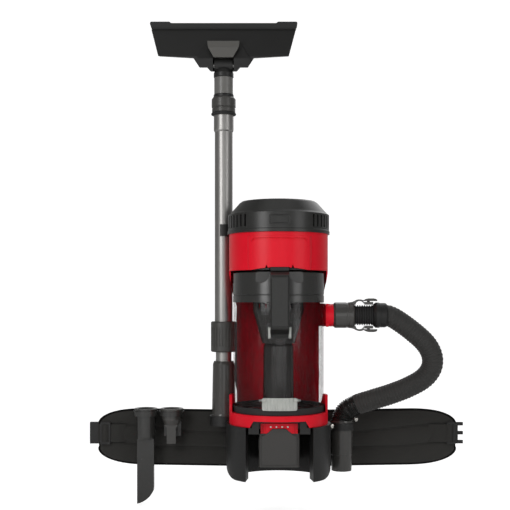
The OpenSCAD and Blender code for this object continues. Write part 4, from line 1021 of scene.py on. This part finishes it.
LOOK_AT = (0, -0.12, 0.25)                  # what the front lamps point at
CAMERA_X, CAMERA_Z, CAMERA_SHIFT = -0.047, 0.2896, 0.088
FLOOR_WIDTH, FLOOR_LENGTH = 12, 8
BEND_START, BEND_SPAN, FLAT_END = 1.6, 1.4, 3.0     # where the floor curves up into the backdrop


def lamp(name, place, target, size, energy, height=None):
    data = bpy.data.lights.new(name, "AREA")
    data.shape = "RECTANGLE"
    data.size = size
    data.size_y = height or size
    data.energy = energy
    made = bpy.data.objects.new(name, data)
    made.location = place
    made.rotation_euler = (Vector(target) - Vector(place)).to_track_quat("-Z", "Y").to_euler()
    bpy.context.collection.objects.link(made)


class VAC_OT_stage(bpy.types.Operator):
    """Make the camera, the pale floor and backdrop, and the lamps"""
    bl_idname = "vac.stage"
    bl_label = "Stage"

    def execute(self, context):
        made = context.scene.vac_stage
        low = CAD_BOX[0][2] - made.floor_drop
        camera = bpy.data.objects.new("camera", bpy.data.cameras.new("camera"))
        camera.data.lens = made.lens
        camera.data.sensor_width = 36
        camera.data.shift_y = CAMERA_SHIFT
        camera.location = (CAMERA_X, -made.distance, CAMERA_Z)
        camera.rotation_euler = (math.radians(90), 0, 0)
        context.collection.objects.link(camera)
        context.scene.camera = camera

        bpy.ops.mesh.primitive_grid_add(x_subdivisions=2, y_subdivisions=40, size=1, location=(0, 0, low))
        floor = context.object
        floor.name = "floor"
        for vertex in floor.data.vertices:
            x, y = vertex.co.x, vertex.co.y
            reach = (y + 0.5) * FLOOR_LENGTH - FLOOR_LENGTH / 2
            rise = 0.0
            if reach > BEND_START:
                turn = min(1.0, (reach - BEND_START) / BEND_SPAN) * math.pi / 2
                rise = 1.0 - math.cos(turn) + max(0.0, reach - FLAT_END)
                reach = BEND_START + math.sin(turn)
            vertex.co = (x * FLOOR_WIDTH, reach, rise)
        settle(floor)
        bpy.ops.object.shade_smooth()
        pale = Finish("pale_floor")
        straight, glossy, through = (
            pale.node("LightPath", out=f"Is {ray} Ray") for ray in ("Camera", "Glossy", "Transmission"))
        seen = (straight + glossy * 0.12 + through).clamp()
        pale.set(base_color=tuple(made.floor), roughness=0.9, specular_ior_level=0.1, emission_color=(1.0, 1.0, 1.0))
        pale.feed(pale.shader.inputs["Emission Strength"], seen * 0.72)
        floor.data.materials.append(pale.material)

        lamp("key", (-1.35, -2.0, 0.95), LOOK_AT, 0.8, made.key_power, height=1.5)
        lamp("fill", (1.6, -1.7, 0.8), LOOK_AT, 0.8, made.fill_power, height=1.5)
        lamp("front", (0.2, -2.6, 0.5), LOOK_AT, 1.2, made.fill_power * 0.55)
        lamp("back", (0.6, 1.25, 1.6), (0, 0, 0.3), 1.4, made.fill_power)
        lamp("top", (0.0, -0.1, 2.4), (0, -0.1, 0.3), 1.4, made.fill_power * 0.3)
        world = bpy.data.worlds.new("studio")
        world.use_nodes = True
        tree = world.node_tree
        backdrop = tree.nodes["Background"]
        light = tree.nodes.new("ShaderNodeLightPath")
        pick_one = tree.nodes.new("ShaderNodeMapRange")
        pick_one.inputs["To Min"].default_value = 0.20
        pick_one.inputs["To Max"].default_value = 1.0
        tree.links.new(light.outputs["Is Camera Ray"], pick_one.inputs["Value"])
        tree.links.new(pick_one.outputs["Result"], backdrop.inputs["Strength"])
        backdrop.inputs["Color"].default_value = (1, 1, 1, 1)
        context.scene.world = world
        context.scene.view_settings.view_transform = "Standard"
        return {"FINISHED"}


# ------------ trim

def named(name):
    """The piece that was just added, with its name."""
    piece = bpy.context.object
    piece.name = piece.data.name = name
    return piece


def lathe_blank(name, radius, depth, sides=32):
    """A round blank on the world's origin, its end facing up."""
    drop_selection()
    bpy.ops.mesh.primitive_cylinder_add(vertices=sides, radius=radius, depth=depth, location=(0, 0, depth / 2))
    return settle(named(name))


def place_blank(piece, place, facing):
    """Turns a blank's end to facing and moves its foot to place."""
    piece.rotation_mode = "QUATERNION"
    piece.rotation_quaternion = Vector(facing).to_track_quat("Z", "Y")
    piece.location = place
    settle(piece)


def inset(thickness, *move):
    """Insets the selected faces and moves what is left of them."""
    bpy.ops.mesh.inset(thickness=thickness)
    bpy.ops.transform.translate(value=move)


def screw_head(name, place, facing, body, radius):
    """A domed screw with a cross slot."""
    depth = radius * 0.55
    head = lathe_blank(name, radius, depth)
    select_faces(head, lambda centre, normal: normal.z > 0.9)
    inset(radius * 0.28, 0, 0, radius * 0.16)
    inset(radius * 0.30, 0, 0, radius * 0.06)
    bpy.ops.mesh.poke()
    bpy.ops.mesh.select_all(action="DESELECT")
    mode("OBJECT")
    reach = radius * 0.40
    for edge in head.data.edges:
        edge.select = False
    for face in head.data.polygons:
        middle = face.center
        face.select = middle.z > depth + radius * 0.1 and Vector((middle.x, middle.y)).length < reach and \
            min(abs(middle.x), abs(middle.y)) < radius * 0.07
    mode("EDIT")
    bpy.ops.mesh.extrude_region_move(TRANSFORM_OT_translate={"value": (0, 0, -radius * 0.35)})
    mode("OBJECT")
    place_blank(head, place, facing)
    finish_piece(head, body, "zinc", 35)


def rivet(name, place, facing, body, radius, finish="zinc"):
    """A tubular rivet: a washer with a dished middle."""
    stud = lathe_blank(name, radius, radius * 0.35, 28)
    select_faces(stud, lambda centre, normal: normal.z > 0.9)
    inset(radius * 0.35, 0, 0, radius * 0.22)
    bpy.ops.mesh.inset(thickness=radius * 0.22)
    bpy.ops.mesh.extrude_region_move(TRANSFORM_OT_translate={"value": (0, 0, -radius * 0.4)})
    mode("OBJECT")
    place_blank(stud, place, facing)
    finish_piece(stud, body, finish, 35)


PLATE_R, CATCH_Z = 96.6, 287.0      # face of the handle's catch plate and its middle's height, in mm
GUIDE_SIZE = (0.0058, 0.0060, 0.023)
GUIDE_X, LATCH_PIN_X = 19.5, 38.0


def catch_guide(name, x):
    """Rib on the bin beside the handle's catch: a block, tapered and rounded; its pale latch plastic is a painted
    highlight.
    """
    drop_selection()
    bpy.ops.mesh.primitive_cube_add(size=1)
    rib = named(name)
    rib.scale = GUIDE_SIZE
    settle(rib)
    select_faces(rib, lambda centre, normal: normal.y < -0.9)
    bpy.ops.transform.resize(value=(0.55, 1, 0.72))
    inset(0.0004, 0, -0.0006, 0)
    mode("OBJECT")
    modifier(rib, "BEVEL", width=0.0006, segments=2, limit_method="ANGLE")
    rib.location = at(x, -math.sqrt(PLATE_R ** 2 - x ** 2) - 2.0, CATCH_Z)
    # The pale latch finish paints the highlight beside the catch.
    finish_piece(rib, "bin", "latch")


class VAC_OT_trim(bpy.types.Operator):
    """Make the screws and rivets that the mouldings carry, and the pale ribs beside the handle's catch that paint
    highlights there
    """
    bl_idname = "vac.trim"
    bl_label = "Trim"

    def execute(self, context):
        screw_head("clip_screw", at(110.2, 31.6, 93.0), (0.357, -0.934, 0), "vac", 0.0046)
        rivet("belt_rivet", at(166.0, 106.6, 97.0), (0, -1, 0), "belt_right", 0.0044)
        for side, tag in SIDES:
            catch_guide(f"catch_guide_{tag}", side * GUIDE_X)
            rivet(f"latch_pin_{tag}", at(side * LATCH_PIN_X, -95.0, 158.4), (side, 0, 0), "bin", 0.0026, "steel")
        return {"FINISHED"}


# ------------ panel and run

STEPS = ("stage", "finishes", "hose", "belts", "back_pad", "shoulder_straps", "trim")


class VAC_PT_panel(bpy.types.Panel):
    """Lists the sizes, the colours and the steps"""
    bl_idname = "VAC_PT_panel"
    bl_label = "Backpack vacuum cleaner"
    bl_space_type = "VIEW_3D"
    bl_region_type = "UI"
    bl_category = "Vacuum"

    def draw(self, context):
        for attribute, group in GROUPS.items():
            box = self.layout.box()
            box.label(text=group.__name__.replace("Settings", ""))
            for field in group.__annotations__:
                box.prop(getattr(context.scene, attribute), field)
        for step in STEPS:
            self.layout.operator(f"vac.{step}")


KINDS = (*GROUPS.values(), VAC_OT_stage, VAC_OT_finishes, VAC_OT_hose, VAC_OT_belts, VAC_OT_back_pad,
         VAC_OT_shoulder_straps, VAC_OT_trim, VAC_PT_panel)


def register():
    for kind in KINDS:
        bpy.utils.register_class(kind)
    for attribute, group in GROUPS.items():
        setattr(bpy.types.Scene, attribute, PointerProperty(type=group))


def unregister():
    for attribute in GROUPS:
        delattr(bpy.types.Scene, attribute)
    for kind in reversed(KINDS):
        bpy.utils.unregister_class(kind)


def main():
    register()
    for step in STEPS:
        getattr(bpy.ops.vac, step)()
    drop_selection()


if __name__ == "__main__":
    main()
